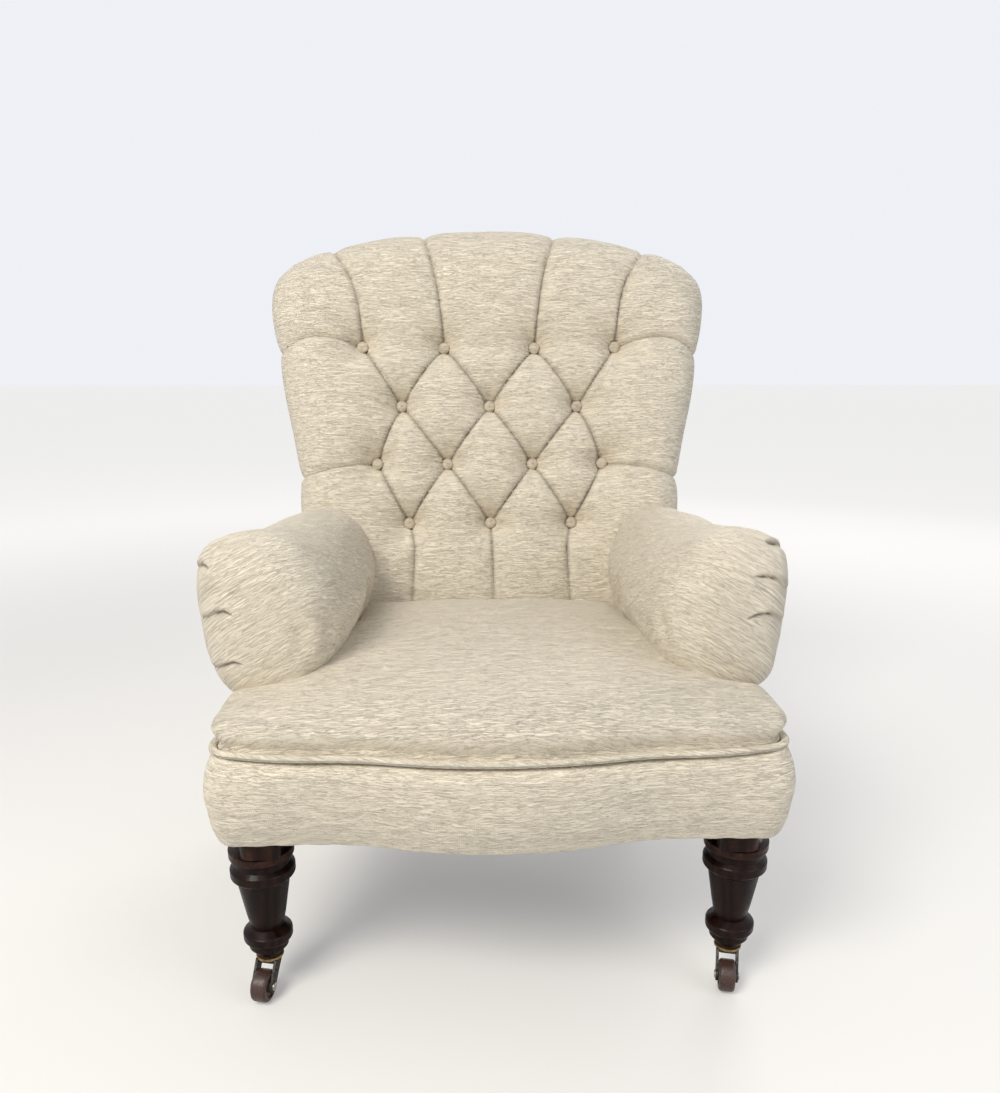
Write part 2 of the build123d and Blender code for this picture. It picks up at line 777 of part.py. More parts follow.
with BuildPart() as arm_pad:
    for level, shares in (
        (canvas_top, arm_foot_level_shares),
        (arm_flare_level, arm_flare_level_shares),
    ):
        middle, rear = (tuple(seat_spot(*share))[:2] for share in shares)
        front = (arm_side_x(arm_front, level) - border_thickness, arm_front)
        outer = (arm_side_x(back_foot, level) - border_thickness, back_foot)
        with BuildSketch(Plane.XY.offset(level)):
            with BuildLine():
                ThreePointArc(front, middle, rear)
                Polyline(rear, (rear[0], back_foot), outer, front)
            make_face()
    loft(ruled=True)
    add(arm_roll.part)
    for piece in (back_form, arm_post, arm_rail):
        add(piece.part, mode=Mode.SUBTRACT)
    add(arm_pad.solids().sort_by(SortBy.VOLUME)[-1], mode=Mode.REPLACE)
    pleat_ends = [
        Vector(spread * arm_roll_spread, arm_roll_y(along))
        for spread, along in (arm_pleat_front_shares, arm_pleat_rear_shares)
    ]
    pleat_outward = (pleat_ends[1] - pleat_ends[0]).cross(Vector(0, 0, 1)).normalized()
    for share in arm_pleat_level_shares:
        rise = Vector(0, 0, share * arm_roll_level)
        start, end = (spot + rise for spot in pleat_ends)
        fold(start, end, arm_pleat_half_width, arm_pleat_depth, pleat_outward)
    dish_radius = (arm_tuft_radius**2 + arm_tuft_depth**2) / (2 * arm_tuft_depth)
    for spot in [arm_inner_spot(*share) for share in arm_tuft_shares]:
        with Locations(spot + Vector(arm_tuft_depth - dish_radius, 0, 0)):
            Sphere(dish_radius, mode=Mode.SUBTRACT)
    button_spot = arm_inner_spot(*arm_button_shares) + Vector(arm_button_recess, 0, 0)
    with Locations(Location(button_spot, (0, -90, 0))):
        Cone(
            tuft_foot_radius,
            arm_button_well_radius,
            2 * arm_button_recess,
            align=(Align.CENTER, Align.CENTER, Align.MIN),
            mode=Mode.SUBTRACT,
        )
write_pair(arm_pad, "arm_pad")

# One covered button is pulled into the inner face of each arm
with BuildPart() as arm_button:
    with Locations(Location(button_spot, (0, -90, 0))):
        add(button.part)
write_pair(arm_button, "arm_button")

# Outside arms: a flat padded panel each, from the rail's foot up under the roll
with BuildPart() as outside_arm:
    for level in (rail_foot_level, arm_panel_level):
        front_x = arm_side_x(arm_front, level)
        rear_x = arm_side_x(back_foot, level)
        with BuildSketch(Plane.XY.offset(level)):
            with BuildLine():
                Polyline(
                    (front_x, arm_front),
                    (rear_x, back_foot),
                    (rear_x - border_thickness, back_foot),
                    (front_x - border_thickness, arm_front),
                    close=True,
                )
            make_face()
    loft(ruled=True)
    cut_behind(back_panel_thickness)
    for piece in (back_form, arm_roll):
        add(piece.part, mode=Mode.SUBTRACT)
    add(outside_arm.solids().sort_by(SortBy.VOLUME)[-1], mode=Mode.REPLACE)
write_pair(outside_arm, "outside_arm_panel")

# Front border: the band of cover over the front rail and round both corners
with BuildPart() as front_border:
    for face, level in (
        (foot_face(), rail_foot_level),
        (swell_face(), swell_level),
        (top_face(), border_top_level),
    ):
        with BuildSketch(Plane.XY.offset(level)):
            add(face)
    loft()
    prism(foot_face(border_thickness), 0, 2 * cut_overrun, Mode.SUBTRACT)
    box_between(
        (-cut_overrun, arm_front - fit_gap, 0),
        (cut_overrun, cut_overrun, 2 * cut_overrun),
        Mode.SUBTRACT,
    )
write_piece(front_border, "front_border")

# Piping: a round covered cord between the border and the seat
piping_line = top_face(piping_radius / 2)
piping_level = border_top_level + piping_radius
with BuildPart() as seat_piping:
    path = Wire([e for e in piping_line.edges() if e.center().Y < back_foot - piping_radius])
    path = path.moved(Location((0, 0, piping_level)))
    with BuildSketch(Plane(origin=path @ 0, z_dir=path % 0)):
        Circle(piping_radius)
    sweep(path=path)
    box_between(
        (-cut_overrun, arm_front - fit_gap, 0),
        (cut_overrun, cut_overrun, 2 * cut_overrun),
        Mode.SUBTRACT,
    )
write_piece(seat_piping, "seat_piping")

# Seat pad: crowned, with a soft rolled edge that stands over the piping
crown_y = seat_front + seat_crown_setback
corner_distance = hypot(seat_width / 2, foot_corner_y - crown_y)
crown_rise = seat_crown_level - seat_corner_level
crown_radius = (corner_distance**2 + crown_rise**2) / (2 * crown_rise)
with BuildPart() as seat_pad:
    prism(top_face(), seat_edge_level, seat_crown_level + crown_rise)
    with Locations((0, crown_y, seat_crown_level - crown_radius)):
        Sphere(crown_radius, mode=Mode.INTERSECT)
    rim = seat_pad.edges().filter_by(lambda e: e.center().Z > seat_edge_level + fit_gap)
    rim = rim.filter_by(Axis.Z, reverse=True).sort_by(Axis.Y)[:-1]
    fillet(rim, radius=seat_edge_rounding)
    prism(foot_face(border_thickness), canvas_top, border_top_level)
    prism(top_face(piping_radius * 3 / 2 + fit_gap), border_top_level, seat_edge_level)
    cut_behind(back_thickness)
    for piece in (back_form, arm_pad, outside_arm, arm_post):
        add(piece.part, mode=Mode.SUBTRACT)
        add(piece.part.mirror(Plane.YZ), mode=Mode.SUBTRACT)
write_piece(seat_pad, "seat_pad")


# Castors: a brass plate and pintle in the leg, an iron fork that swivels on the
# pintle's rivet, and a turned wheel on a steel axle
disc_top = castor_height - plate_thickness - castor_face_gap
disc_foot = disc_top - fork_disc_thickness
cheek_inner = wheel_width / 2 + wheel_side_gap
cheek_outer = cheek_inner + fork_cheek_thickness
heading = radians(castor_heading)


def castor_plate():
    """The plate under the leg, its pintle above and its rivet below."""
    with BuildPart() as plate:
        with Locations((0, 0, castor_height)):
            Cylinder(plate_radius, plate_thickness, align=(Align.CENTER, Align.CENTER, Align.MAX))
            Cylinder(pintle_radius, pintle_depth, align=(Align.CENTER, Align.CENTER, Align.MIN))
        rivet_foot = disc_foot - castor_face_gap - rivet_head_height
        with Locations((0, 0, rivet_foot)):
            Cylinder(rivet_head_radius, rivet_head_height, align=(Align.CENTER, Align.CENTER, Align.MIN))
            Cylinder(
                rivet_radius,
                castor_height - rivet_foot,
                align=(Align.CENTER, Align.CENTER, Align.MIN),
            )
    return plate.part


def castor_fork():
    """The swivelling horn: a disc on the rivet and two cheeks for the axle."""
    with BuildPart() as fork:
        with BuildSketch(Plane.XY.offset(disc_foot)):
            RectangleRounded(2 * fork_disc_radius, 2 * cheek_outer, fork_disc_radius * fork_corner_share)
            Circle(rivet_radius + axle_gap, mode=Mode.SUBTRACT)
        extrude(amount=fork_disc_thickness)
        for side in (1, -1):
            with BuildSketch(Plane.XZ.offset(-side * (cheek_inner + cheek_outer) / 2)):
                with Locations((castor_trail, wheel_radius)):
                    Circle(fork_cheek_end_radius)
                with BuildLine():
                    Polyline(
                        (fork_cheek_rear_share * fork_disc_radius, disc_top),
                        (fork_disc_radius * fork_cheek_front_share, disc_top),
                        (castor_trail + fork_cheek_end_radius, wheel_radius),
                        (castor_trail - fork_cheek_end_radius, wheel_radius),
                        close=True,
                    )
                make_face()
                with Locations((castor_trail, wheel_radius)):
                    Circle(axle_radius, mode=Mode.SUBTRACT)
            extrude(amount=fork_cheek_thickness / 2, both=True)
    return fork.part


def castor_axle():
    """The axle: a pin through both cheeks with a low head at each end."""
    with BuildPart() as axle:
        with Locations(Location((castor_trail, 0, wheel_radius), (90, 0, 0))):
            Cylinder(axle_radius, 2 * cheek_outer)
            for side in (1, -1):
                with Locations((0, 0, side * (cheek_outer + axle_head_height / 2))):
                    Cylinder(axle_head_radius, axle_head_height)
    return axle.part


def castor_wheel():
    """The wheel: a rounded tread and a hub between two shallow dishes."""
    with BuildPart() as wheel:
        with Locations(Location((castor_trail, 0, wheel_radius), (90, 0, 0))):
            Cylinder(wheel_radius, wheel_width)
        fillet(wheel.edges().filter_by(GeomType.CIRCLE), radius=wheel_rounding)
        with Locations(Location((castor_trail, 0, wheel_radius), (90, 0, 0))):
            Cylinder(axle_radius + axle_gap, wheel_width, mode=Mode.SUBTRACT)
            for side in (1, -1):
                with Locations((0, 0, side * (wheel_width - wheel_hub_dish) / 2)):
                    Cylinder(wheel_dish_radius, wheel_hub_dish, mode=Mode.SUBTRACT)
                    Cylinder(wheel_hub_radius, wheel_hub_dish)
                    Cylinder(axle_radius + axle_gap, wheel_hub_dish, mode=Mode.SUBTRACT)
    return wheel.part


castor_makers = {
    "castor_plate": castor_plate,
    "castor_fork": castor_fork,
    "castor_axle": castor_axle,
    "castor_wheel": castor_wheel,
}
leg_axes = {
    "front_left": (front_leg_spread, front_leg_y),
    "front_right": (-front_leg_spread, front_leg_y),
    "rear_left": (rear_leg_spread, rear_leg_y),
    "rear_right": (-rear_leg_spread, rear_leg_y),
}
for kind, make in castor_makers.items():
    for corner, (x, y) in leg_axes.items():
        corner_plane = Plane(origin=(x, y, 0), x_dir=(-sin(heading), -cos(heading), 0), z_dir=(0, 0, 1))
        with BuildPart() as castor_piece:
            with Locations(corner_plane.location):
                add(make())
        write_piece(castor_piece, f"{kind}_{corner}")
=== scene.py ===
import math

import bmesh
import bpy
import numpy as np
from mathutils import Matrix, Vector, noise


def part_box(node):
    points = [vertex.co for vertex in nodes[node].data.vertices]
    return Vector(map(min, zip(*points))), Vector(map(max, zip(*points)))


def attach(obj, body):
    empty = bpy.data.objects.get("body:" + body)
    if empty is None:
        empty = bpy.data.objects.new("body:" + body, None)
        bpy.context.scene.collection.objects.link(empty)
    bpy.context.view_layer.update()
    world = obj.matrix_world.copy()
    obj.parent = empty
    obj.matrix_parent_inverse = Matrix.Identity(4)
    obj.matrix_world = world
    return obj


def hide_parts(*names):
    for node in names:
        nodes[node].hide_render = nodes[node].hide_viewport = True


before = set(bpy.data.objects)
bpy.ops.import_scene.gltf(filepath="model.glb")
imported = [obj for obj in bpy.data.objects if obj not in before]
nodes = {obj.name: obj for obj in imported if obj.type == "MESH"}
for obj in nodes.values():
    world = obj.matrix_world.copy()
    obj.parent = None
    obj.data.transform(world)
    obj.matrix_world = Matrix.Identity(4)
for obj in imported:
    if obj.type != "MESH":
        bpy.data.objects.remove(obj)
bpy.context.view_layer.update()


# Beech frame: seat rails, corner braces, arm posts and rails, crest and tacking rails.
# Planed, unpolished boards, doweled and glued. All of it is closed in by the upholstery.
def place(tree, kind, settings=(), feeds=()):
    """Add a node, set its options and feed its inputs with values or with other sockets."""
    made = tree.nodes.new(kind)
    for option, value in dict(settings).items():
        setattr(made, option, value)
    for name, value in dict(feeds).items():
        if isinstance(value, bpy.types.NodeSocket):
            tree.links.new(value, made.inputs[name])
        else:
            made.inputs[name].default_value = value
    return made


def math_node(tree, operation, first, second=0.0):
    """One arithmetic step."""
    return place(tree, "ShaderNodeMath", {"operation": operation}, {0: first, 1: second}).outputs[0]


def spread(tree, value, low, high, to_low=0.0, to_high=1.0):
    """Spread the part of a value between low and high over a new range, eased at both ends."""
    feeds = {"Value": value, "From Min": low, "From Max": high, "To Min": to_low, "To Max": to_high}
    return place(tree, "ShaderNodeMapRange", {"interpolation_type": "SMOOTHSTEP"}, feeds).outputs["Result"]


def colour_mix(tree, share, first, second, blend="MIX"):
    """Mix two colours by a share."""
    settings = {"data_type": "RGBA", "blend_type": blend}
    feeds = {"Factor": share, 6: first, 7: second}
    return place(tree, "ShaderNodeMix", settings, feeds).outputs[2]


def noise_at(tree, where, scale, detail=2.0, roughness=0.5, distortion=0.0):
    """A noise value at a place."""
    feeds = {"Vector": where, "Scale": scale, "Detail": detail, "Roughness": roughness,
             "Distortion": distortion}
    return place(tree, "ShaderNodeTexNoise", (), feeds).outputs["Fac"]


def stretched(tree, where, scales):
    """Scale a place by a different amount on each axis."""
    return place(tree, "ShaderNodeMapping", (), {"Vector": where, "Scale": scales}).outputs["Vector"]


def new_group(name, inputs, outputs):
    """An empty node group with named inputs and outputs; inputs are name: (kind, value)."""
    group = bpy.data.node_groups.new(name, "ShaderNodeTree")
    for socket_name, (kind, value) in inputs.items():
        socket = group.interface.new_socket(socket_name, in_out="INPUT", socket_type="NodeSocket" + kind)
        if value is not None:
            socket.default_value = value
    for socket_name, kind in outputs.items():
        group.interface.new_socket(socket_name, in_out="OUTPUT", socket_type="NodeSocket" + kind)
    entry = group.nodes.new("NodeGroupInput")
    leave = group.nodes.new("NodeGroupOutput")
    return group, entry, leave


def new_material(name, **sockets):
    """A material with one Principled shader; keywords set its sockets, _ standing for a space."""
    made = bpy.data.materials.new(name)
    made.use_nodes = True
    shader = made.node_tree.nodes["Principled BSDF"]
    for socket_name, value in sockets.items():
        shader.inputs[socket_name.replace("_", " ")].default_value = value
    return made, made.node_tree, shader


def use_group(tree, group, feeds):
    """Place a node group in a material and feed it."""
    return place(tree, "ShaderNodeGroup", {"node_tree": group}, feeds)


def raise_surface(tree, shader, height, distance, strength=1.0):
    """Feed a height into the shader's normal as bump."""
    bump = place(tree, "ShaderNodeBump", (), {"Height": height, "Distance": distance, "Strength": strength})
    tree.links.new(bump.outputs["Normal"], shader.inputs["Normal"])


def grain_group():
    """Wood grain along Z: growth rings drawn out into long figure, with fine open pores."""
    group, entry, leave = new_group(
        "wood_grain",
        {
            "Vector": ("Vector", None),
            "Light": ("Color", (1, 1, 1, 1)),
            "Dark": ("Color", (0, 0, 0, 1)),
            "Ring Scale": ("Float", 40.0),
            "Pore Depth": ("Float", 0.5),
        },
        {"Color": "Color", "Roughness": "Float", "Height": "Float"},
    )
    drawn = stretched(group, entry.outputs["Vector"], (1.0, 1.0, 0.09))
    wander = noise_at(group, drawn, 14.0, 3.0)
    ring_place = math_node(group, "MULTIPLY_ADD", wander, 0.9)
    rings = place(
        group,
        "ShaderNodeTexWave",
        {"wave_type": "RINGS", "rings_direction": "Z"},
        {"Vector": drawn, "Scale": entry.outputs["Ring Scale"], "Distortion": 5.0, "Detail": 3.0,
         "Detail Scale": 1.6},
    ).outputs["Fac"]
    figure = math_node(group, "MULTIPLY", rings, spread(group, ring_place, 0.2, 0.8, 0.55, 1.0))
    pores = noise_at(group, stretched(group, entry.outputs["Vector"], (1.0, 1.0, 0.03)), 900.0, 2.0)
    pore_mask = spread(group, pores, 0.58, 0.70)
    body = colour_mix(group, figure, entry.outputs["Light"], entry.outputs["Dark"])
    deep = math_node(group, "MULTIPLY", pore_mask, entry.outputs["Pore Depth"])
    colour = colour_mix(group, deep, body, entry.outputs["Dark"])
    group.links.new(colour, leave.inputs["Color"])
    group.links.new(spread(group, pores, 0.3, 0.7, 0.35, 0.6), leave.inputs["Roughness"])
    group.links.new(math_node(group, "SUBTRACT", 1.0, deep), leave.inputs["Height"])
    return group


wood_grain = grain_group()


def object_place(tree):
    """The place on the object, in metres."""
    return place(tree, "ShaderNodeTexCoord").outputs["Object"]


def turned_place(tree, where, turn):
    """A place turned so that the grain runs along another axis."""
    return place(tree, "ShaderNodeMapping", (), {"Vector": where, "Rotation": turn}).outputs["Vector"]


quarter_turn = math.radians(90)
grain_turns = {
    "beech_upright": (0, 0, 0),
    "beech_along": (quarter_turn, 0, 0),
    "beech_across": (0, quarter_turn, 0),
}
beech = {}
for finish_name, turn in grain_turns.items():
    beech[finish_name], tree, shader = new_material(finish_name, IOR=1.45)
    grain = use_group(
        tree,
        wood_grain,
        {
            "Vector": turned_place(tree, object_place(tree), turn),
            "Light": (0.62, 0.45, 0.27, 1),
            "Dark": (0.42, 0.26, 0.13, 1),
            "Ring Scale": 30.0,
            "Pore Depth": 0.35,
        },
    )
    tree.links.new(grain.outputs["Color"], shader.inputs["Base Color"])
    tree.links.new(grain.outputs["Roughness"], shader.inputs["Roughness"])
    raise_surface(tree, shader, grain.outputs["Height"], 0.0003)


def finish(node_name, material):
    """Give a piece of the frame its material."""
    nodes[node_name].data.materials.clear()
    nodes[node_name].data.materials.append(material)


def shade_round(piece, degrees=35):
    """Smooth the curved faces and keep the true edges."""
    with bpy.context.temp_override(object=piece, selected_objects=[piece], active_object=piece):
        bpy.ops.object.shade_smooth_by_angle(angle=math.radians(degrees))


timber_finishes = {
    "beech_upright": ("arm_post_left", "arm_post_right"),
    "beech_along": ("side_seat_rail_left", "side_seat_rail_right", "arm_rail_left", "arm_rail_right"),
    "beech_across": ("front_seat_rail", "back_seat_rail", "corner_braces", "crest_rail", "back_tacking_rail"),
}
for finish_name, timbers in timber_finishes.items():
    for timber in timbers:
        finish(timber, beech[finish_name])


# Legs and back posts: dark mahogany, turned at the front, square and raked at the back.
# French polished, so the gloss is high, and rubbed to a redder brown on the rims.
def wear_group():
    """Rubbed edges and handling marks: a mask that is strongest on convex edges."""
    group, entry, leave = new_group(
        "rubbed_edges",
        {"Vector": ("Vector", None), "Amount": ("Float", 0.5), "Patch Scale": ("Float", 60.0)},
        {"Mask": "Float"},
    )
    edge = place(group, "ShaderNodeNewGeometry").outputs["Pointiness"]
    raised = spread(group, edge, 0.505, 0.56)
    patches = noise_at(group, entry.outputs["Vector"], entry.outputs["Patch Scale"], 4.0, 0.6)
    broken = math_node(group, "MULTIPLY", raised, spread(group, patches, 0.38, 0.6, 0.25, 1.0))
    group.links.new(math_node(group, "MULTIPLY", broken, entry.outputs["Amount"]), leave.inputs["Mask"])
    return group


rubbed_edges = wear_group()

mahogany, tree, shader = new_material(
    "polished_mahogany", IOR=1.3, Specular_IOR_Level=0.25, Coat_Weight=0.12, Coat_Roughness=0.08, Coat_IOR=1.4
)
where = object_place(tree)
grain = use_group(
    tree,
    wood_grain,
    {
        "Vector": where,
        "Light": (0.014, 0.0048, 0.003, 1),
        "Dark": (0.005, 0.002, 0.0015, 1),
        "Ring Scale": 26.0,
        "Pore Depth": 0.6,
    },
)
worn = use_group(tree, rubbed_edges, {"Vector": where, "Amount": 0.5, "Patch Scale": 85.0})
body = colour_mix(tree, worn.outputs["Mask"], grain.outputs["Color"], (0.075, 0.028, 0.016, 1))
smears = noise_at(tree, stretched(tree, where, (1.0, 1.0, 0.5)), 55.0, 4.0, 0.65)
tree.links.new(body, shader.inputs["Base Color"])
tree.links.new(spread(tree, smears, 0.3, 0.75, 0.22, 0.5), shader.inputs["Roughness"])
raise_surface(tree, shader, grain.outputs["Height"], 0.00012, 0.6)
for leg in ("front_leg_left", "front_leg_right", "back_post_left", "back_post_right"):
    finish(leg, mahogany)
    shade_round(nodes[leg])


# Castors: a brass plate and pintle in each leg, a blackened iron fork that swivels under
# it, and a turned wheel on a steel axle. Old, dull, and bright only where they rub.
def metal_finish(name, clean, dull, worn_colour, roughness, bump_depth):
    """An old metal: dull patches over the metal, bright on rubbed edges, pitted."""
    made, tree, shader = new_material(name, Metallic=1.0)
    where = object_place(tree)
    patches = noise_at(tree, where, 160.0, 6.0, 0.68)
    worn = use_group(tree, rubbed_edges, {"Vector": where, "Amount": 0.9, "Patch Scale": 240.0})
    body = colour_mix(tree, spread(tree, patches, 0.38, 0.62), clean, dull)
    rubbed = colour_mix(tree, worn.outputs["Mask"], body, worn_colour)
    tree.links.new(rubbed, shader.inputs["Base Color"])
    low, high = roughness
    tree.links.new(spread(tree, patches, 0.35, 0.65, low, high), shader.inputs["Roughness"])
    pits = noise_at(tree, where, 900.0, 3.0, 0.6)
    raise_surface(tree, shader, pits, bump_depth)
    return made


castor_metals = {
    "castor_plate": metal_finish(
        "old_brass", (0.30, 0.19, 0.08, 1), (0.10, 0.065, 0.035, 1), (0.48, 0.34, 0.16, 1), (0.35, 0.6), 0.0002
    ),
    "castor_fork": metal_finish(
        "blackened_iron", (0.030, 0.027, 0.025, 1), (0.014, 0.012, 0.011, 1), (0.10, 0.09, 0.08, 1),
        (0.42, 0.65), 0.0004
    ),
    "castor_axle": metal_finish(
        "worn_steel", (0.32, 0.30, 0.28, 1), (0.12, 0.10, 0.09, 1), (0.55, 0.53, 0.5, 1), (0.3, 0.5), 0.0002
    ),
}

wheel_wood, tree, shader = new_material("stained_wheel", IOR=1.5, Coat_Weight=0.25, Coat_Roughness=0.3)
where = object_place(tree)
worn = use_group(tree, rubbed_edges, {"Vector": where, "Amount": 0.85, "Patch Scale": 300.0})
scuffs = noise_at(tree, where, 420.0, 5.0, 0.7)
stain = colour_mix(tree, spread(tree, scuffs, 0.35, 0.65), (0.062, 0.024, 0.015, 1), (0.024, 0.010, 0.007, 1))
body = colour_mix(tree, worn.outputs["Mask"], stain, (0.17, 0.09, 0.06, 1))
tree.links.new(body, shader.inputs["Base Color"])
tree.links.new(spread(tree, scuffs, 0.3, 0.7, 0.32, 0.6), shader.inputs["Roughness"])
raise_surface(tree, shader, scuffs, 0.0003)

corners = ("front_left", "front_right", "rear_left", "rear_right")
for corner in corners:
    for kind, metal in castor_metals.items():
        finish(f"{kind}_{corner}", metal)
        shade_round(nodes[f"{kind}_{corner}"])
    finish(f"castor_wheel_{corner}", wheel_wood)
    shade_round(nodes[f"castor_wheel_{corner}"])


# Seat and back foundations: jute webbing, open jute canvas, coppered springs and flax
# twine. Tacked to the frame's rails and lashed down, and closed in by the pads.
def plain_weave_group():
    """An open plain weave: threads over and under each other at a given pitch."""
    group, entry, leave = new_group(
        "plain_weave",
        {"Vector": ("Vector", None), "Threads": ("Float", 300.0)},
        {"Height": "Float", "Gap": "Float"},
    )
    waves = []
    for direction in ("X", "Y"):
        threads = place(
            group,
            "ShaderNodeTexWave",
            {"wave_type": "BANDS", "bands_direction": direction},
            {"Vector": entry.outputs["Vector"], "Scale": entry.outputs["Threads"], "Distortion": 0.6,
             "Detail": 2.0},
        )
        waves.append(threads.outputs["Fac"])
    height = math_node(group, "MAXIMUM", waves[0], waves[1])
    group.links.new(height, leave.inputs["Height"])
    group.links.new(spread(group, height, 0.1, 0.35, 1.0, 0.0), leave.inputs["Gap"])
    return group


plain_weave = plain_weave_group()


def jute_finish(name, light, dark, threads):
    """Jute cloth with hairy, uneven threads."""
    made, tree, shader = new_material(name, Sheen_Weight=0.15, Sheen_Roughness=0.6)
    where = object_place(tree)
    weave = use_group(tree, plain_weave, {"Vector": where, "Threads": threads})
    hair = noise_at(tree, where, 700.0, 4.0, 0.7)
    body = colour_mix(tree, spread(tree, hair, 0.35, 0.65), dark, light)
    # The gaps between the threads take the dark colour: painted shade of the hollow behind the open weave.
    colour = colour_mix(tree, weave.outputs["Gap"], body, dark)
    tree.links.new(colour, shader.inputs["Base Color"])
    tree.links.new(spread(tree, hair, 0.3, 0.7, 0.75, 0.95), shader.inputs["Roughness"])
    raise_surface(tree, shader, weave.outputs["Height"], 0.0005)
    return made


jute_webbing = jute_finish("jute_webbing", (0.46, 0.36, 0.23, 1), (0.26, 0.19, 0.11, 1), 130.0)
jute_canvas = jute_finish("jute_canvas", (0.52, 0.42, 0.28, 1), (0.30, 0.23, 0.14, 1), 240.0)
flax_twine = jute_finish("flax_twine", (0.62, 0.55, 0.40, 1), (0.42, 0.36, 0.25, 1), 700.0)
for strap in ("seat_webbing_crosswise", "seat_webbing_lengthwise", "back_webbing"):
    finish(strap, jute_webbing)
for cloth in ("seat_canvas", "back_canvas"):
    finish(cloth, jute_canvas)
finish("button_twines", flax_twine)
spring_wire = metal_finish(
    "coppered_wire", (0.50, 0.27, 0.16, 1), (0.25, 0.16, 0.11, 1), (0.66, 0.45, 0.3, 1), (0.35, 0.6), 0.0003
)
finish("seat_springs", spring_wire)
shade_round(nodes["seat_springs"])


# Dust cover: thin black cloth, cut round the legs and tacked up under the rails. It sags a
# little between them.
dust_square = 0.014
dust_sag = 0.009
dust_quilting = 0.0012

black_cloth, tree, shader = new_material("black_dust_cloth", Sheen_Weight=0.2, Sheen_Roughness=0.5)
where = object_place(tree)
weave = use_group(tree, plain_weave, {"Vector": where, "Threads": 420.0})
lint = noise_at(tree, where, 90.0, 6.0, 0.7)
body = colour_mix(tree, spread(tree, lint, 0.5, 0.75), (0.018, 0.017, 0.017, 1), (0.06, 0.055, 0.05, 1))
tree.links.new(body, shader.inputs["Base Color"])
tree.links.new(spread(tree, lint, 0.3, 0.7, 0.8, 0.95), shader.inputs["Roughness"])
raise_surface(tree, shader, weave.outputs["Height"], 0.0002)


def add_piece(name, mesh, material):
    """Show a mesh as a piece of its own in one material."""
    mesh.materials.clear()
    mesh.materials.append(material)
    piece = bpy.data.objects.new(name, mesh)
    bpy.context.scene.collection.objects.link(piece)
    return piece


def places_of(piece):
    """The places of a piece's points."""
    places = np.empty(len(piece.data.vertices) * 3, np.float32)
    piece.data.vertices.foreach_get("co", places)
    return places.reshape(-1, 3).astype(float)


def move_to(piece, places):
    """Move a piece's points."""
    piece.data.vertices.foreach_set("co", np.asarray(places, np.float32).ravel())
    piece.data.update()


def squared_underside(node_name, square):
    """The flat underside of a cloth in the frame, cut into small squares."""
    mesh = nodes[node_name].data.copy()
    work = bmesh.new()
    work.from_mesh(mesh)
    upper = [face for face in work.faces if face.normal.z > -0.5]
    bmesh.ops.delete(work, geom=upper, context="FACES")
    bmesh.ops.dissolve_limit(work, angle_limit=0.01, verts=work.verts[:], edges=work.edges[:])
    low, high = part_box(node_name)
    for normal, first, last in (((1, 0, 0), low.x, high.x), ((0, 1, 0), low.y, high.y)):
        for stop in np.arange(first + square, last, square):
            everything = work.verts[:] + work.edges[:] + work.faces[:]
            spot = [stop * axis for axis in normal]
            bmesh.ops.bisect_plane(work, geom=everything, dist=1e-6, plane_co=spot, plane_no=normal)
    for face in work.faces:
        face.smooth = True
    work.to_mesh(mesh)
    work.free()
    return mesh


dust_cloth = add_piece("dust_cloth", squared_underside("dust_cover", dust_square), black_cloth)
low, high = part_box("dust_cover")
places = places_of(dust_cloth)
across = 2 * (places[:, 0] - low.x) / (high.x - low.x) - 1
along = 2 * (places[:, 1] - low.y) / (high.y - low.y) - 1
hollow = np.clip(1 - across**2, 0, 1) * np.clip(1 - along**2, 0, 1)
ripples = np.array([noise.noise(Vector((x * 9, y * 9, 5.0))) for x, y, z in places])
places[:, 2] -= dust_sag * hollow**0.7 + dust_quilting * ripples * hollow**0.3
move_to(dust_cloth, places)
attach(dust_cloth, "chair")
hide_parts("dust_cover")


# Seat: springs under hair and wadding, crowned at the middle. Its cream cover is drawn down
# over a soft rolled front edge and sewn to the piping.
seat_skin = 0.005
seat_relax = 6
seat_swell = 0.007
seat_tuck_level = 0.352
seat_roll_level = 0.371
seat_roll_reach = 0.0065
seat_roll_tuck = 0.0055
seat_roll_lift = 0.005
seat_roll_rear = -0.12
cloth_pressure = 4.0
cloth_frames = 20
tiny = 1e-12


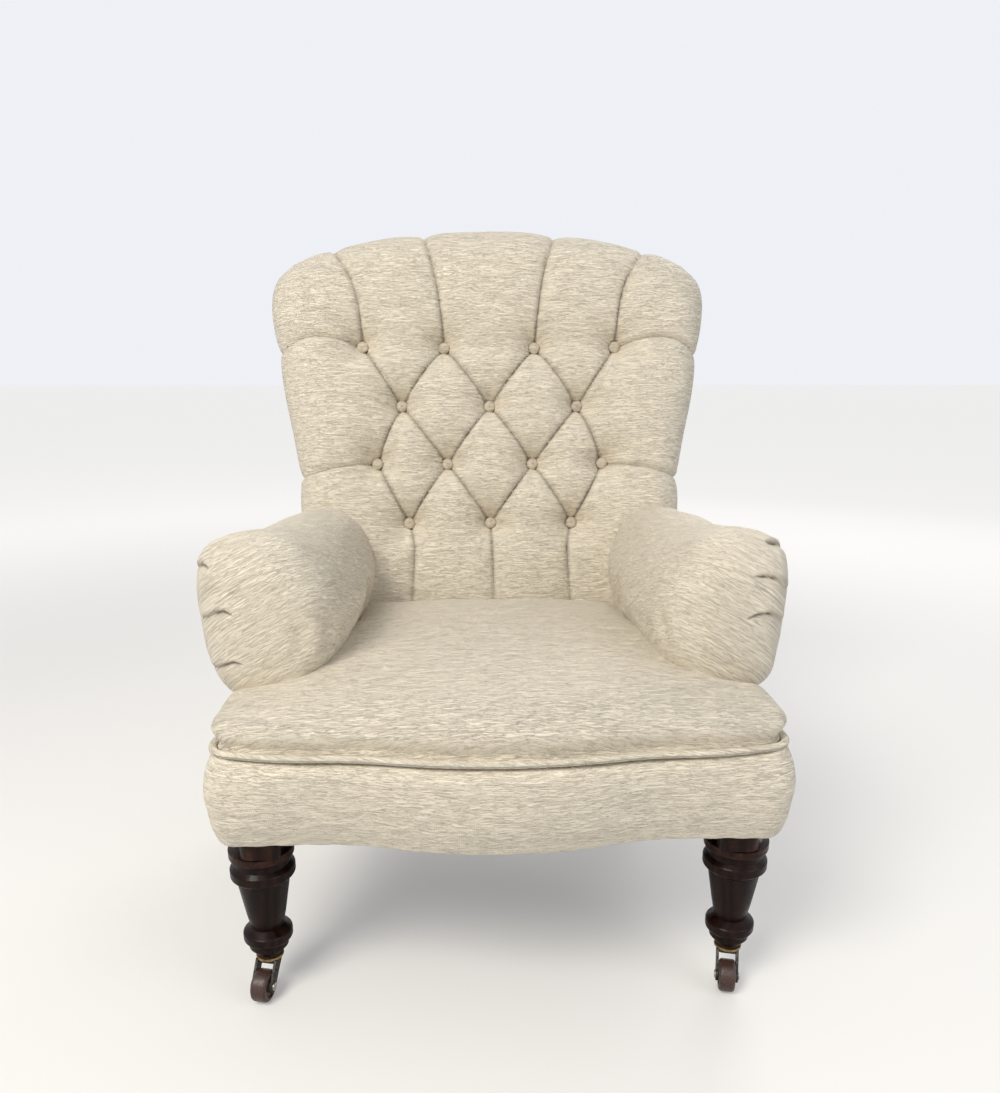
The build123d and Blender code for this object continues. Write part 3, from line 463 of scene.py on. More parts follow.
def chenille_group():
    """Slubby chenille. The cloth place runs along the ribs in X and across them in Y, in metres."""
    group, entry, leave = new_group(
        "ribbed_chenille",
        {
            "Cloth": ("Vector", None),
            "Light": ("Color", (1, 1, 1, 1)),
            "Shade": ("Color", (0.5, 0.5, 0.5, 1)),
            "Rib Depth": ("Float", 1.0),
        },
        {"Color": "Color", "Roughness": "Float", "Height": "Float"},
    )
    cloth = entry.outputs["Cloth"]
    drift = noise_at(group, stretched(group, cloth, (34.0, 60.0, 1.0)), 1.0, 2.0)
    lift = math_node(group, "MULTIPLY", math_node(group, "SUBTRACT", drift, 0.5), 0.005)
    shift = place(group, "ShaderNodeCombineXYZ", (), {"Y": lift, "Z": 0.43}).outputs["Vector"]
    wandering = place(group, "ShaderNodeVectorMath", {"operation": "ADD"}, {0: cloth, 1: shift}).outputs[0]
    creases = []
    for along, across, width in ((30.0, 420.0, 0.05), (60.0, 820.0, 0.06)):
        wave = noise_at(group, stretched(group, wandering, (along, across, 1.0)), 1.0, 2.0, 0.5)
        offset = math_node(group, "ABSOLUTE", math_node(group, "SUBTRACT", wave, 0.5))
        creases.append(spread(group, offset, 0.0, width))
    slubs = spread(group, noise_at(group, stretched(group, wandering, (36.0, 480.0, 1.0)), 1.0, 3.0, 0.6), 0.32, 0.68)
    warp = place(
        group,
        "ShaderNodeTexWave",
        {"wave_type": "BANDS", "bands_direction": "X"},
        {"Vector": cloth, "Scale": 150.0, "Distortion": 1.4, "Detail": 2.0, "Detail Scale": 3.0},
    ).outputs["Fac"]
    crimps = noise_at(group, stretched(group, wandering, (520.0, 800.0, 1.0)), 1.0, 2.0, 0.7)
    height = math_node(group, "MULTIPLY", creases[0], 0.26)
    for wave, share in ((creases[1], 0.28), (slubs, 0.26), (crimps, 0.11), (warp, 0.09)):
        height = math_node(group, "ADD", height, math_node(group, "MULTIPLY", wave, share))
    # The pile's lighter and darker patches are painted sheen of pile lying different ways. Over them the colour runs
    # from Shade in the creases to Light on the raised ribs and slubs: painted shade and light at the scale of the
    # threads, along with the slubs' own tone.
    pile = noise_at(group, stretched(group, wandering, (7.0, 13.0, 1.0)), 1.0, 4.0, 0.6)
    pile_lift = math_node(group, "MULTIPLY", math_node(group, "SUBTRACT", pile, 0.5), 0.45)
    lit = spread(group, height, 0.25, 0.75)
    light_share = math_node(group, "ADD", lit, pile_lift)
    clear_share = spread(group, light_share, 0.0, 1.0)
    colour = colour_mix(group, clear_share, entry.outputs["Shade"], entry.outputs["Light"])
    group.links.new(colour, leave.inputs["Color"])
    group.links.new(spread(group, height, 0.2, 0.9, 0.92, 0.7), leave.inputs["Roughness"])
    deep = math_node(group, "MULTIPLY", height, entry.outputs["Rib Depth"])
    group.links.new(deep, leave.inputs["Height"])
    return group


ribbed_chenille = chenille_group()
cream_light = (0.82, 0.745, 0.605, 1)
cream_shade = (0.61, 0.54, 0.42, 1)
# Colour of the painted shade in the slits of folds and pleats.
fold_shade = (0.13, 0.105, 0.075, 1)


def cover_finish(name, light=cream_light, shade=cream_shade, rib_depth=1.0):
    """The cream cover, read from the cloth place that each piece's mesh carries."""
    made, tree, shader = new_material(name, Sheen_Weight=0.22, Sheen_Roughness=0.45, IOR=1.4)
    cloth = place(tree, "ShaderNodeAttribute", {"attribute_name": "cloth"}).outputs["Vector"]
    weave = use_group(
        tree, ribbed_chenille, {"Cloth": cloth, "Light": light, "Shade": shade, "Rib Depth": rib_depth}
    )
    # Points in a fold's slit are darkened towards fold_shade: painted shade in the slits of folds and pleats.
    fold = place(tree, "ShaderNodeAttribute", {"attribute_name": "fold"}).outputs["Fac"]
    painted_fold_shade = colour_mix(tree, fold, weave.outputs["Color"], fold_shade)
    tree.links.new(painted_fold_shade, shader.inputs["Base Color"])
    tree.links.new(weave.outputs["Roughness"], shader.inputs["Roughness"])
    raise_surface(tree, shader, weave.outputs["Height"], 0.0013)
    return made


cream_cover = cover_finish("cream_chenille")


def lay_cloth(piece, along, across):
    """Store the place of each point on the flat cloth, in metres along and across its ribs."""
    layer = piece.data.attributes.new("cloth", "FLOAT_VECTOR", "POINT")
    flat = np.stack([along, across, np.zeros(len(along))], axis=1)
    layer.data.foreach_set("vector", flat.astype(np.float32).ravel())


def mark_folds(piece, shares):
    """Store how far each point lies in the painted shade of a fold, from 0 to 1."""
    layer = piece.data.attributes.new("fold", "FLOAT", "POINT")
    layer.data.foreach_set("value", np.clip(shares, 0, 1).astype(np.float32))


def ease(value, low, high):
    """Rises smoothly from 0 at low to 1 at high."""
    share = np.clip((np.asarray(value) - low) / (high - low), 0, 1)
    return share * share * (3 - 2 * share)


def settle(piece):
    """Keep the shape that a piece's modifiers give it."""
    shown = piece.evaluated_get(bpy.context.evaluated_depsgraph_get())
    mesh = bpy.data.meshes.new_from_object(shown)
    mesh.name = piece.name
    piece.modifiers.clear()
    piece.data = mesh


def even_skin(piece, size, relax):
    """Give a closed piece an even skin, then relax its edges."""
    remesh = piece.modifiers.new("skin", "REMESH")
    remesh.mode = "VOXEL"
    remesh.voxel_size = size
    remesh.use_smooth_shade = True
    smooth = piece.modifiers.new("relax", "SMOOTH")
    smooth.factor = 0.5
    smooth.iterations = relax
    settle(piece)


def swell(piece, cap, hold=None):
    """Blow a padded piece up with cloth, moving no point further than its cap."""
    before = places_of(piece)
    cloth = piece.modifiers.new("swell", "CLOTH")
    cloth.settings.use_pressure = True
    cloth.settings.uniform_pressure_force = cloth_pressure
    cloth.settings.effector_weights.gravity = 0
    cloth.point_cache.frame_end = cloth_frames
    for frame_number in range(1, cloth_frames + 1):
        bpy.context.scene.frame_set(frame_number)
    settle(piece)
    bpy.context.scene.frame_set(1)
    moved = places_of(piece) - before
    reach = np.linalg.norm(moved, axis=1)
    limit = cap if hold is None else cap * hold(before)
    move_to(piece, before + moved * np.minimum(1, limit / np.maximum(reach, tiny))[:, None])


def refine(piece):
    """Divide every face once, smoothly."""
    divide = piece.modifiers.new("divide", "SUBSURF")
    divide.levels = 1
    settle(piece)


def normals_of(piece):
    """The outward direction at each point of a piece."""
    normals = np.empty(len(piece.data.vertices) * 3, np.float32)
    piece.data.vertex_normals.foreach_get("vector", normals)
    return normals.reshape(-1, 3).astype(float)


def rumples(places, scale, seed):
    """Soft uneven lumps, from -1 to 1."""
    return np.array([noise.noise(Vector((x * scale, y * scale, z * scale + seed))) for x, y, z in places])


seat_cover = add_piece("seat_cover", nodes["seat_pad"].data.copy(), cream_cover)
even_skin(seat_cover, seat_skin, seat_relax)
swell(seat_cover, seat_swell, lambda places: ease(places[:, 2], seat_tuck_level - 0.006, seat_tuck_level + 0.004))
refine(seat_cover)

seat_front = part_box("seat_pad")[0].y
seat_places = places_of(seat_cover)
x, y, z = seat_places.T
lumps = rumples(seat_places, 9.0, 1.0) * 0.0022 + rumples(seat_places, 26.0, 7.0) * 0.0006
upper = ease(z, 0.352, 0.372)
# Small pleats take up the fullness of the cloth at both front corners.
corner_pleats = np.zeros(len(x))
for pleat_x, pleat_y, pleat_depth in ((0.322, -0.338, 0.005), (0.330, -0.322, 0.004)):
    away = np.hypot(np.abs(x) - pleat_x, y - pleat_y)
    corner_pleats += pleat_depth * np.exp(-((away / 0.0032) ** 2)) * (1 - ease(z, 0.366, 0.384))
seat_places += normals_of(seat_cover) * (lumps * upper - corner_pleats)[:, None]
# The rolled edge stands out over the piping, in front and round both front corners.
at_front = 1 - ease(y, seat_roll_rear - 0.05, seat_roll_rear)
roll_out = seat_roll_reach * np.exp(-(((z - seat_roll_level) / 0.011) ** 2))
tuck_in = seat_roll_tuck * np.exp(-(((z - seat_tuck_level) / 0.007) ** 2))
seat_places += normals_of(seat_cover) * (1, 1, 0) * (at_front * (roll_out - tuck_in))[:, None]
seat_places[:, 2] += seat_roll_lift * at_front * np.exp(-(((z - seat_roll_level - 0.004) / 0.014) ** 2))
move_to(seat_cover, seat_places)
lay_cloth(seat_cover, x, y + z)
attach(seat_cover, "chair")
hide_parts("seat_pad")


# Front border: a band of the same cover over a thin pad, tacked under the front rail and
# carried round both front corners to the arms.
border_skin = 0.0035
border_relax = 2
border_swell = 0.004
border_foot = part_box("front_border")[0].z
border_foot_reach = 0.045
border_foot_spread = 0.030
border_foot_drop = 0.007

border_cover = add_piece("front_border_cover", nodes["front_border"].data.copy(), cream_cover)
even_skin(border_cover, border_skin, border_relax)
swell(border_cover, border_swell, lambda places: ease(places[:, 2], 0.236, 0.270))
refine(border_cover)
border_places = places_of(border_cover)
x, y, z = border_places.T
lumps = rumples(border_places * (1, 1, 0.5), 14.0, 3.0) * 0.0014
# The cover is drawn in by the tacks along the foot.
tack_draw = 0.0004 * np.cos(x * 2 * math.pi / 0.034) * (1 - ease(z, 0.238, 0.262))
border_places += normals_of(border_cover) * (lumps + tack_draw)[:, None]
# The foot is pulled down square over the rail's edge, and its corners stay crisp.
foot = 1 - ease(z, border_foot, border_foot + border_foot_reach)
border_places[:, 0] *= 1 + border_foot_spread * foot
border_places[:, 2] -= border_foot_drop * foot
move_to(border_cover, border_places)
lay_cloth(border_cover, x * (1 + 3 * np.clip(y - seat_front - 0.05, 0, 0.2)), z)
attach(border_cover, "chair")
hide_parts("front_border")


# Piping: cotton cord in a strip of the cover, sewn along the seam under the seat's edge.
piping_radius = 0.0043
piping_sides = 14
piping_seam = 0.0012
piping_step = 0.004


def new_piece(name, points, faces, material):
    """A smooth mesh from points and faces, outward facing."""
    mesh = bpy.data.meshes.new(name)
    mesh.from_pydata([tuple(point) for point in points], [], faces)
    work = bmesh.new()
    work.from_mesh(mesh)
    bmesh.ops.recalc_face_normals(work, faces=work.faces)
    for face in work.faces:
        face.smooth = True
    work.to_mesh(mesh)
    work.free()
    return add_piece(name, mesh, material)


def smooth_line(knots, step):
    """Points about a step apart on a smooth curve through the knots."""
    knots = np.array(knots, float)
    ends = np.vstack([2 * knots[0] - knots[1], knots, 2 * knots[-1] - knots[-2]])
    dense = []
    for a, b, c, d in zip(ends, ends[1:], ends[2:], ends[3:]):
        for share in np.linspace(0, 1, 24, endpoint=False):
            dense.append(
                0.5 * (2 * b + (c - a) * share + (2 * a - 5 * b + 4 * c - d) * share**2
                       + (3 * b - a - 3 * c + d) * share**3)
            )
    dense = np.array(dense + [knots[-1]])
    run = np.concatenate([[0], np.cumsum(np.linalg.norm(np.diff(dense, axis=0), axis=1))])
    stops = np.linspace(0, run[-1], max(2, round(run[-1] / step) + 1))
    return np.stack([np.interp(stops, run, dense[:, axis]) for axis in range(dense.shape[1])], axis=1)


def tube_rings(line, radius, sides, seam):
    """Rings of points round a level line, each with a low ridge where its strip is sewn."""
    ahead = np.gradient(line, axis=0)
    ahead /= np.linalg.norm(ahead, axis=1)[:, None]
    outward = np.cross(ahead, (0, 0, 1))
    turns = np.linspace(0, 2 * math.pi, sides, endpoint=False)
    ridge = seam * np.exp(-(((np.abs(turns - math.pi)) / 0.5) ** 2))
    reach = (radius + ridge)[None, :, None]
    sideways = np.cos(turns)[None, :, None] * outward[:, None]
    upward = np.sin(turns)[None, :, None] * np.array((0, 0, 1.0))
    return line[:, None] + reach * (sideways + upward), turns


piping_source = add_piece("piping_source", nodes["seat_piping"].data.copy(), cream_cover)
even_skin(piping_source, 0.0016, 0)
piping_points = places_of(piping_source)
bpy.data.objects.remove(piping_source)
turn_round = np.arctan2(piping_points[:, 0], -(piping_points[:, 1] + 0.1))
slices = np.linspace(turn_round.min(), turn_round.max(), 90)
middles = []
for start, end in zip(slices, slices[1:]):
    inside = (turn_round >= start) & (turn_round < end)
    middles.append(piping_points[inside].mean(axis=0))
piping_line = smooth_line(middles[1:-1], piping_step)
rings, turns = tube_rings(piping_line, piping_radius, piping_sides, piping_seam)
count = len(piping_line)
piping_index = np.arange(count * piping_sides).reshape(count, piping_sides)
piping_faces = []
for ring in range(count - 1):
    for side in range(piping_sides):
        after = (side + 1) % piping_sides
        here, ahead = piping_index[ring], piping_index[ring + 1]
        piping_faces.append((here[side], here[after], ahead[after], ahead[side]))
piping_faces += [tuple(piping_index[0]), tuple(piping_index[-1])]
piping_cover = new_piece("seat_piping_cover", rings.reshape(-1, 3), piping_faces, cream_cover)
run = np.arange(count) * piping_step
lay_cloth(
    piping_cover,
    np.repeat(run, piping_sides),
    np.tile(turns * piping_radius, count) + 0.3 * np.repeat(run, piping_sides),
)
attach(piping_cover, "chair")
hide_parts("seat_piping")


# Back pad: hair and wadding under one cream cover, deep buttoned in rows of 4, 3, 4 and 3.
# Folds join the buttons into diamonds and run out over the crest, the sides and the foot.
lean = math.radians(13.5)
back_thickness = 0.126
back_panel_thickness = 0.004
back_timber_front = 0.0495
back_height = 0.662
back_foot_level = 0.300
back_foot_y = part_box("outside_back_panel")[1].y - back_height * math.sin(lean)
back_origin = np.array((0.0, back_foot_y, back_foot_level))
back_up = np.array((0.0, math.sin(lean), math.cos(lean)))
back_out = np.array((0.0, -math.cos(lean), math.sin(lean)))
back_step = 0.0032
back_roll = 0.066
back_widest_depth = 0.062
back_side_draw = 0.007
back_lip = 0.012
back_side_knots = (
    (0.296, 0.004), (0.304, 0.110), (0.313, 0.215), (0.319, 0.310), (0.336, 0.400),
    (0.349, 0.490), (0.3525, 0.545), (0.343, 0.580), (0.316, 0.607),
)
back_top_knots = ((0.316, 0.607), (0.266, 0.629), (0.180, 0.647), (0.090, 0.658), (0.0, 0.6615))
button_rows = (
    (0.474, (-0.206, -0.074, 0.074, 0.206)),
    (0.380, (-0.144, 0.0, 0.144)),
    (0.286, (-0.185, -0.070, 0.070, 0.185)),
    (0.189, (-0.134, 0.0, 0.134)),
)
button_spots = np.array([(x, height) for height, row in button_rows for x in row])
button_sink = 0.046
button_pull = 0.021
button_seat = 0.010
crease_depth = 0.017
crease_run_out = 0.008
crease_softness = 0.015
crease_slit = 0.005
crease_slit_width = 0.0014
# How strongly the back's fold slits are painted with shade.
fold_dark = 0.5
fold_edge_room = 0.014
lip_rise = 0.0016
lip_place = 0.006
panel_sink = 0.010


def nearest_on(line, points):
    """Distance, share along the line, and foot of each point on the nearest part of a line."""
    best = np.full(len(points), np.inf)
    share = np.zeros(len(points))
    feet = np.zeros_like(points)
    side = np.zeros(len(points))
    for index, (start, end) in enumerate(zip(line, line[1:])):
        along = end - start
        place_on = np.clip((points - start) @ along / max(along @ along, tiny), 0, 1)
        foot = start + place_on[:, None] * along
        away = points - foot
        distance = np.linalg.norm(away, axis=1)
        nearer = distance < best
        best[nearer] = distance[nearer]
        share[nearer] = (index + place_on[nearer]) / (len(line) - 1)
        feet[nearer] = foot[nearer]
        side[nearer] = np.sign(along[0] * away[nearer, 1] - along[1] * away[nearer, 0])
    return best, share, feet, side


def mirrored(knots):
    """The same knots on the other side of the centre line."""
    return tuple((-x, height) for x, height in knots)


def back_folds():
    """Every fold as (knots, depth at its start, depth at its end)."""
    folds = []
    for (upper, upper_row), (lower, lower_row) in zip(button_rows, button_rows[1:]):
        for upper_x in upper_row:
            for lower_x in lower_row:
                if abs(lower_x - upper_x) < 0.09:
                    folds.append((((upper_x, upper), (lower_x, lower)), crease_depth, crease_depth))
    outer_crest = ((0.206, 0.474), (0.207, 0.522), (0.221, 0.577), (0.252, 0.631))
    inner_crest = ((0.074, 0.474), (0.077, 0.515), (0.086, 0.577), (0.106, 0.655))
    outer_side = ((0.206, 0.474), (0.255, 0.483), (0.300, 0.480), (0.346, 0.462))
    lower_side = ((0.185, 0.286), (0.245, 0.277), (0.319, 0.262))
    outer_foot = ((0.134, 0.189), (0.125, 0.151), (0.127, 0.094), (0.133, 0.010))
    for knots in (outer_crest, inner_crest, outer_side, lower_side, outer_foot):
        for line in (knots, mirrored(knots)):
            folds.append((line, crease_depth, crease_run_out))
    folds.append((((0.0, 0.189), (0.003, 0.120), (0.005, 0.010)), crease_depth, crease_run_out))
    return folds


def patch(left, right, bottom, top):
    """A grid of points filled in between four curves."""
    down = np.linspace(0, 1, len(left))[:, None, None]
    across = np.linspace(0, 1, len(bottom))[None, :, None]
    if len(left) > 2:
        down = np.linalg.norm(left - left[0], axis=1)[:, None, None]
        down = down / down[-1]
    across = np.abs(bottom[:, 0] - bottom[0, 0])[None, :, None]
    across = across / across[0, -1]
    sides = (1 - across) * left[:, None] + across * right[:, None]
    ends = (1 - down) * bottom[None] + down * top[None]
    corners_low = (1 - across) * left[0] + across * right[0]
    corners_high = (1 - across) * left[-1] + across * right[-1]
    return sides + ends - ((1 - down) * corners_low + down * corners_high)


def roll_stops(length, radius, step, at_start=True):
    """Places along a length, closer where a rolled edge turns away, as shares."""
    turn = np.linspace(0, math.pi / 2, round(math.pi / 2 * radius / step))
    edge = radius * (1 - np.cos(turn))
    start = edge if at_start else np.array([0.0])
    count = round((length - radius - start[-1]) / step)
    middle = np.linspace(start[-1], length - radius, count)
    return np.concatenate([start, middle[1:-1], (length - edge)[::-1]]) / length


def along_line(line, shares):
    """Points at given shares of a line's length."""
    run = np.concatenate([[0], np.cumsum(np.linalg.norm(np.diff(line, axis=0), axis=1))])
    return np.stack([np.interp(shares * run[-1], run, line[:, axis]) for axis in (0, 1)], axis=1)


right_side = smooth_line(back_side_knots, 0.004)
half_top = smooth_line(back_top_knots, 0.004)
whole_top = np.vstack([half_top * (-1, 1), half_top[-2::-1]])
up_stops = roll_stops(0.66, back_roll, back_step, at_start=False)
across_stops = roll_stops(0.66, back_roll, back_step)
right_curve = along_line(right_side, up_stops)
top_curve = along_line(whole_top, across_stops)
foot_curve = np.stack([(2 * across_stops - 1) * back_side_knots[0][0],
                       np.full(len(across_stops), back_side_knots[0][1])], axis=1)
plan = patch(right_curve * (-1, 1), right_curve, foot_curve, top_curve)
rows, columns = plan.shape[:2]
flat = plan.reshape(-1, 2)

folds = back_folds()
fold_lines = [smooth_line(knots, 0.008) for knots, start, end in folds]
outline = np.vstack([right_side, half_top[1:], mirrored(half_top[-2::-1]), (right_side * (-1, 1))[-2::-1]])
inside = nearest_on(outline, flat)[0] > fold_edge_room
for line in fold_lines:
    distance, share, feet, side = nearest_on(line, flat)
    near = inside & (distance < back_step * 0.55) & (flat[:, 1] > fold_edge_room)
    flat[near] = feet[near]
edge_distance, share, edge_feet, side = nearest_on(outline, flat)
turn = np.arccos(np.clip(1 - edge_distance / back_roll, 0, 1))
rolled = np.clip(edge_distance, 0, back_roll)
base_depth = back_widest_depth + (back_thickness - back_widest_depth) * np.sin(turn)
outward = (edge_feet - flat) / np.maximum(edge_distance, 1e-6)[:, None]
excess = back_roll * (math.pi / 2 - turn) - (back_roll - rolled)
cloth_places = flat + outward * excess[:, None]


def sink_of(points):
    """How far the cover is drawn in at each place by buttons, folds and the tufted panel."""
    total = np.zeros(len(points))
    raised_lips = np.zeros(len(points))
    slit = np.zeros(len(points))
    for line, (knots, start_depth, end_depth) in zip(fold_lines, folds):
        distance, share, feet, side = nearest_on(line, points)
        depth = start_depth + (end_depth - start_depth) * share
        total += (depth * np.exp(-distance / crease_softness)) ** 3
        slit = np.maximum(slit, np.exp(-distance / crease_slit_width) * depth / crease_depth)
        lip = np.exp(-(((distance - lip_place) / lip_place) ** 2))
        raised_lips = np.maximum(raised_lips, lip * (side > 0))
    for spot in button_spots:
        away = np.linalg.norm(points - spot, axis=1)
        total += (button_sink * np.exp(-np.maximum(away - button_seat, 0) / button_pull)) ** 3
    x, height = np.abs(points[:, 0]), points[:, 1]
    panel = (1 - ease(x, 0.150, 0.235)) * (1 - ease(height, 0.440, 0.560))
    valley = np.exp(-(((height - 0.470) / 0.022) ** 2)) * (1 - ease(x, 0.19, 0.21)) * 0.009
    low_valley = np.exp(-(((height - 0.186) / 0.018) ** 2)) * (1 - ease(x, 0.12, 0.14)) * 0.005
    total += valley**3 + low_valley**3
    return np.cbrt(total) + panel_sink * panel + crease_slit * slit - lip_rise * raised_lips, slit


sink, slit = sink_of(flat)
lumps = np.array([noise.noise(Vector((x * 11, height * 11, 3.0))) for x, height in flat])
sink = sink - 0.0016 * lumps
grid = back_origin + flat[:, :1] * np.array((1.0, 0, 0)) + flat[:, 1:] * back_up
grid = grid + base_depth[:, None] * back_out
shaped = grid.reshape(rows, columns, 3)
normals = np.cross(np.gradient(shaped, axis=1), np.gradient(shaped, axis=0)).reshape(-1, 3)
normals /= np.maximum(np.linalg.norm(normals, axis=1), tiny)[:, None]
grid = grid - normals * sink[:, None]

index = np.arange(rows * columns).reshape(rows, columns)
faces = [
    (index[r, c], index[r, c + 1], index[r + 1, c + 1], index[r + 1, c])
    for r in range(rows - 1)
    for c in range(columns - 1)
]
ring = np.concatenate([index[:, 0], index[-1, 1:], index[-2::-1, -1], index[0, -2:0:-1]])
ring_flat = flat[ring]
is_foot = (ring_flat[:, 1] < 0.006)
ahead = np.roll(ring_flat, -1, axis=0) - np.roll(ring_flat, 1, axis=0)
ring_in = np.stack([ahead[:, 1], -ahead[:, 0]], axis=1)
ring_in /= np.maximum(np.linalg.norm(ring_in, axis=1), tiny)[:, None]
ring_in[is_foot] = 0
ring_sink = sink[ring]
ring_depth = (grid[ring] - back_origin) @ back_out
ring_rear = np.where(is_foot, back_timber_front + 0.001, back_panel_thickness - 0.0005)
points = [grid]
cloths = [cloth_places]
slits = [slit]
wall_rows = [(math.sin(a), back_side_draw * (1 - math.cos(a)), 1) for a in np.linspace(0.12, math.pi / 2, 14)]
wall_rows += [(1.0, back_side_draw + back_lip, 1), (None, back_side_draw + back_lip, 1)]
last_ring = ring
for drop_share, draw, keep in wall_rows:
    if drop_share is None:
        depth = np.full(len(ring), back_timber_front + 0.001)
    else:
        depth = ring_depth + (ring_rear - ring_depth) * drop_share
    fade = 1 - 0.45 * (1.0 if drop_share is None else drop_share)
    wall_flat = ring_flat + ring_in * (draw + ring_sink * fade)[:, None]
    wall = back_origin + wall_flat[:, :1] * np.array((1.0, 0, 0)) + wall_flat[:, 1:] * back_up
    points.append(wall + depth[:, None] * back_out)
    cloths.append(cloth_places[ring] - ring_in * (ring_depth - depth)[:, None])
    slits.append(slit[ring] * fade)
    start = sum(len(group) for group in points[:-1])
    new_ring = np.arange(start, start + len(ring))
    for here in range(len(ring)):
        after = (here + 1) % len(ring)
        faces.append((last_ring[here], last_ring[after], new_ring[after], new_ring[here]))
    last_ring = new_ring
faces.append(tuple(last_ring))
back_pad = new_piece("back_pad_cover", np.vstack(points), faces, cream_cover)
lay_cloth(back_pad, *np.vstack(cloths).T)
# Each fold's slit gets painted shade as well as its real depth.
mark_folds(back_pad, fold_dark * np.concatenate(slits))
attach(back_pad, "chair")
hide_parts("back_pad")


# Buttons: wooden moulds covered in the same cloth. A twine draws each one down into the pad.
button_radius = 0.0092
button_dome = 0.0042
button_rings = 7
button_sides = 40
button_puckers = 12
button_lift = 0.0095

# The buttons' cloth is painted darker than the cover's: painted shade of the hollows they sit in.
button_cloth_painted_shade = cover_finish("button_chenille", (0.66, 0.59, 0.47, 1), (0.50, 0.43, 0.33, 1), 0.7)


def button_shape(centre, outward, seed):
    """A domed button's points, faces and cloth places, its cloth gathered in under the rim."""
    outward = np.array(outward, float) / np.linalg.norm(outward)
    sideways = np.cross((0, 0, 1.0), outward)
    sideways /= np.linalg.norm(sideways)
    upward = np.cross(outward, sideways)
    turns = np.linspace(0, 2 * math.pi, button_sides, endpoint=False) + seed
    profile = [(share, 1 - share**3.2) for share in np.linspace(0.16, 1, button_rings)]
    profile += [(1.0, -0.25), (0.9, -0.6), (0.55, -0.75)]
    points, cloths = [centre + outward * button_dome], [(seed, 0)]
    for share, lift in profile:
        pucker = 0.018 * ease(share, 0.75, 1) * np.cos(button_puckers * turns)
        reach = button_radius * share * (1 + pucker)
        for turn, radius in zip(turns, reach):
            away = math.cos(turn) * sideways + math.sin(turn) * upward
            points.append(centre + radius * away + button_dome * lift * outward)
            cloths.append((seed + radius * math.cos(turn), radius * math.sin(turn)))
    faces = [(0, 1 + side, 1 + (side + 1) % button_sides) for side in range(button_sides)]
    for ring in range(len(profile) - 1):
        for side in range(button_sides):
            here, after = 1 + ring * button_sides + side, 1 + ring * button_sides + (side + 1) % button_sides
            faces.append((here, here + button_sides, after + button_sides, after))
    faces.append(tuple(1 + (len(profile) - 1) * button_sides + side for side in range(button_sides)))
    return points, faces, cloths


def new_buttons(name, spots, outward, node_name):
    """One piece of several buttons, in place of their node in the frame."""
    points, faces, cloths = [], [], []
    for seed, spot in enumerate(spots):
        more_points, more_faces, more_cloths = button_shape(np.array(spot, float), outward, 0.37 * seed)
        faces += [tuple(index + len(points) for index in face) for face in more_faces]
        points += more_points
        cloths += more_cloths
    piece = new_piece(name, points, faces, button_cloth_painted_shade)
    lay_cloth(piece, *np.array(cloths).T)
    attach(piece, "chair")
    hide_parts(node_name)
    return piece


button_levels = back_thickness - sink_of(button_spots)[0] + button_lift
back_button_spots = [
    back_origin + x * np.array((1.0, 0, 0)) + height * back_up + level * back_out
    for (x, height), level in zip(button_spots, button_levels)
]
new_buttons("back_button_covers", back_button_spots, back_out, "back_buttons")


# Arms: a fat roll of hair and wadding over the arm rail, drawn in to a narrow foot on the
# seat rail. The cover is cut on the cross and pleated round the outer front corner.
# Sections across the arm, as (spread, level) from the outer foot, over the top, to the inner foot.
arm_sections = (
    (-0.190, ((0.343, 0.372), (0.354, 0.415), (0.359, 0.465), (0.360, 0.512), (0.353, 0.548),
              (0.330, 0.567), (0.290, 0.574), (0.243, 0.562), (0.207, 0.526), (0.190, 0.478),
              (0.194, 0.430), (0.214, 0.385), (0.240, 0.345), (0.300, 0.345))),
    (-0.090, ((0.328, 0.372), (0.350, 0.415), (0.360, 0.460), (0.360, 0.500), (0.347, 0.532),
              (0.320, 0.550), (0.280, 0.556), (0.240, 0.546), (0.205, 0.520), (0.186, 0.478),
              (0.186, 0.435), (0.206, 0.392), (0.228, 0.345), (0.300, 0.345))),
    (0.050, ((0.320, 0.372), (0.340, 0.410), (0.350, 0.455), (0.349, 0.495), (0.336, 0.526),
             (0.308, 0.543), (0.270, 0.549), (0.233, 0.539), (0.204, 0.514), (0.188, 0.473),
             (0.186, 0.435), (0.198, 0.395), (0.214, 0.345), (0.295, 0.345))),
    (0.200, ((0.300, 0.372), (0.318, 0.405), (0.326, 0.445), (0.325, 0.487), (0.312, 0.516),
             (0.287, 0.531), (0.256, 0.534), (0.226, 0.526), (0.203, 0.505), (0.193, 0.470),
             (0.190, 0.435), (0.196, 0.395), (0.206, 0.345), (0.285, 0.345))),
)
# The front rounds off: places along Y with the share of the first section's size there.
arm_boss = ((-0.2600, 0.34), (-0.2530, 0.62), (-0.2390, 0.83), (-0.2160, 0.955))
arm_middle = (0.278, 0.458)
arm_undersize = 0.95
arm_section_step = 0.010
arm_section_points = 60
arm_skin = 0.005
arm_relax = 5
arm_swell = 0.006


def closed_curve(knots, count):
    """Points evenly spaced on a smooth closed curve through the knots."""
    wrapped = np.vstack([knots[-2:], knots, knots[:3]])
    line = smooth_line(wrapped, 0.002)
    first = np.argmin(np.linalg.norm(line - knots[0], axis=1)[: len(line) // 2])
    last = len(line) // 2 + np.argmin(np.linalg.norm(line[len(line) // 2:] - knots[0], axis=1))
    loop = line[first:last]
    return loop[np.round(np.linspace(0, len(loop), count, endpoint=False)).astype(int)]


def skin_between(loops):
    """Faces joining loops of equal length, closed at both ends."""
    size = len(loops[0])
    faces = [tuple(range(size))]
    for level in range(len(loops) - 1):
        for side in range(size):
            after = (side + 1) % size
            here = level * size
            faces.append((here + side, here + after, here + size + after, here + size + side))
    last = (len(loops) - 1) * size
    faces.append(tuple(last + side for side in reversed(range(size))))
    return faces


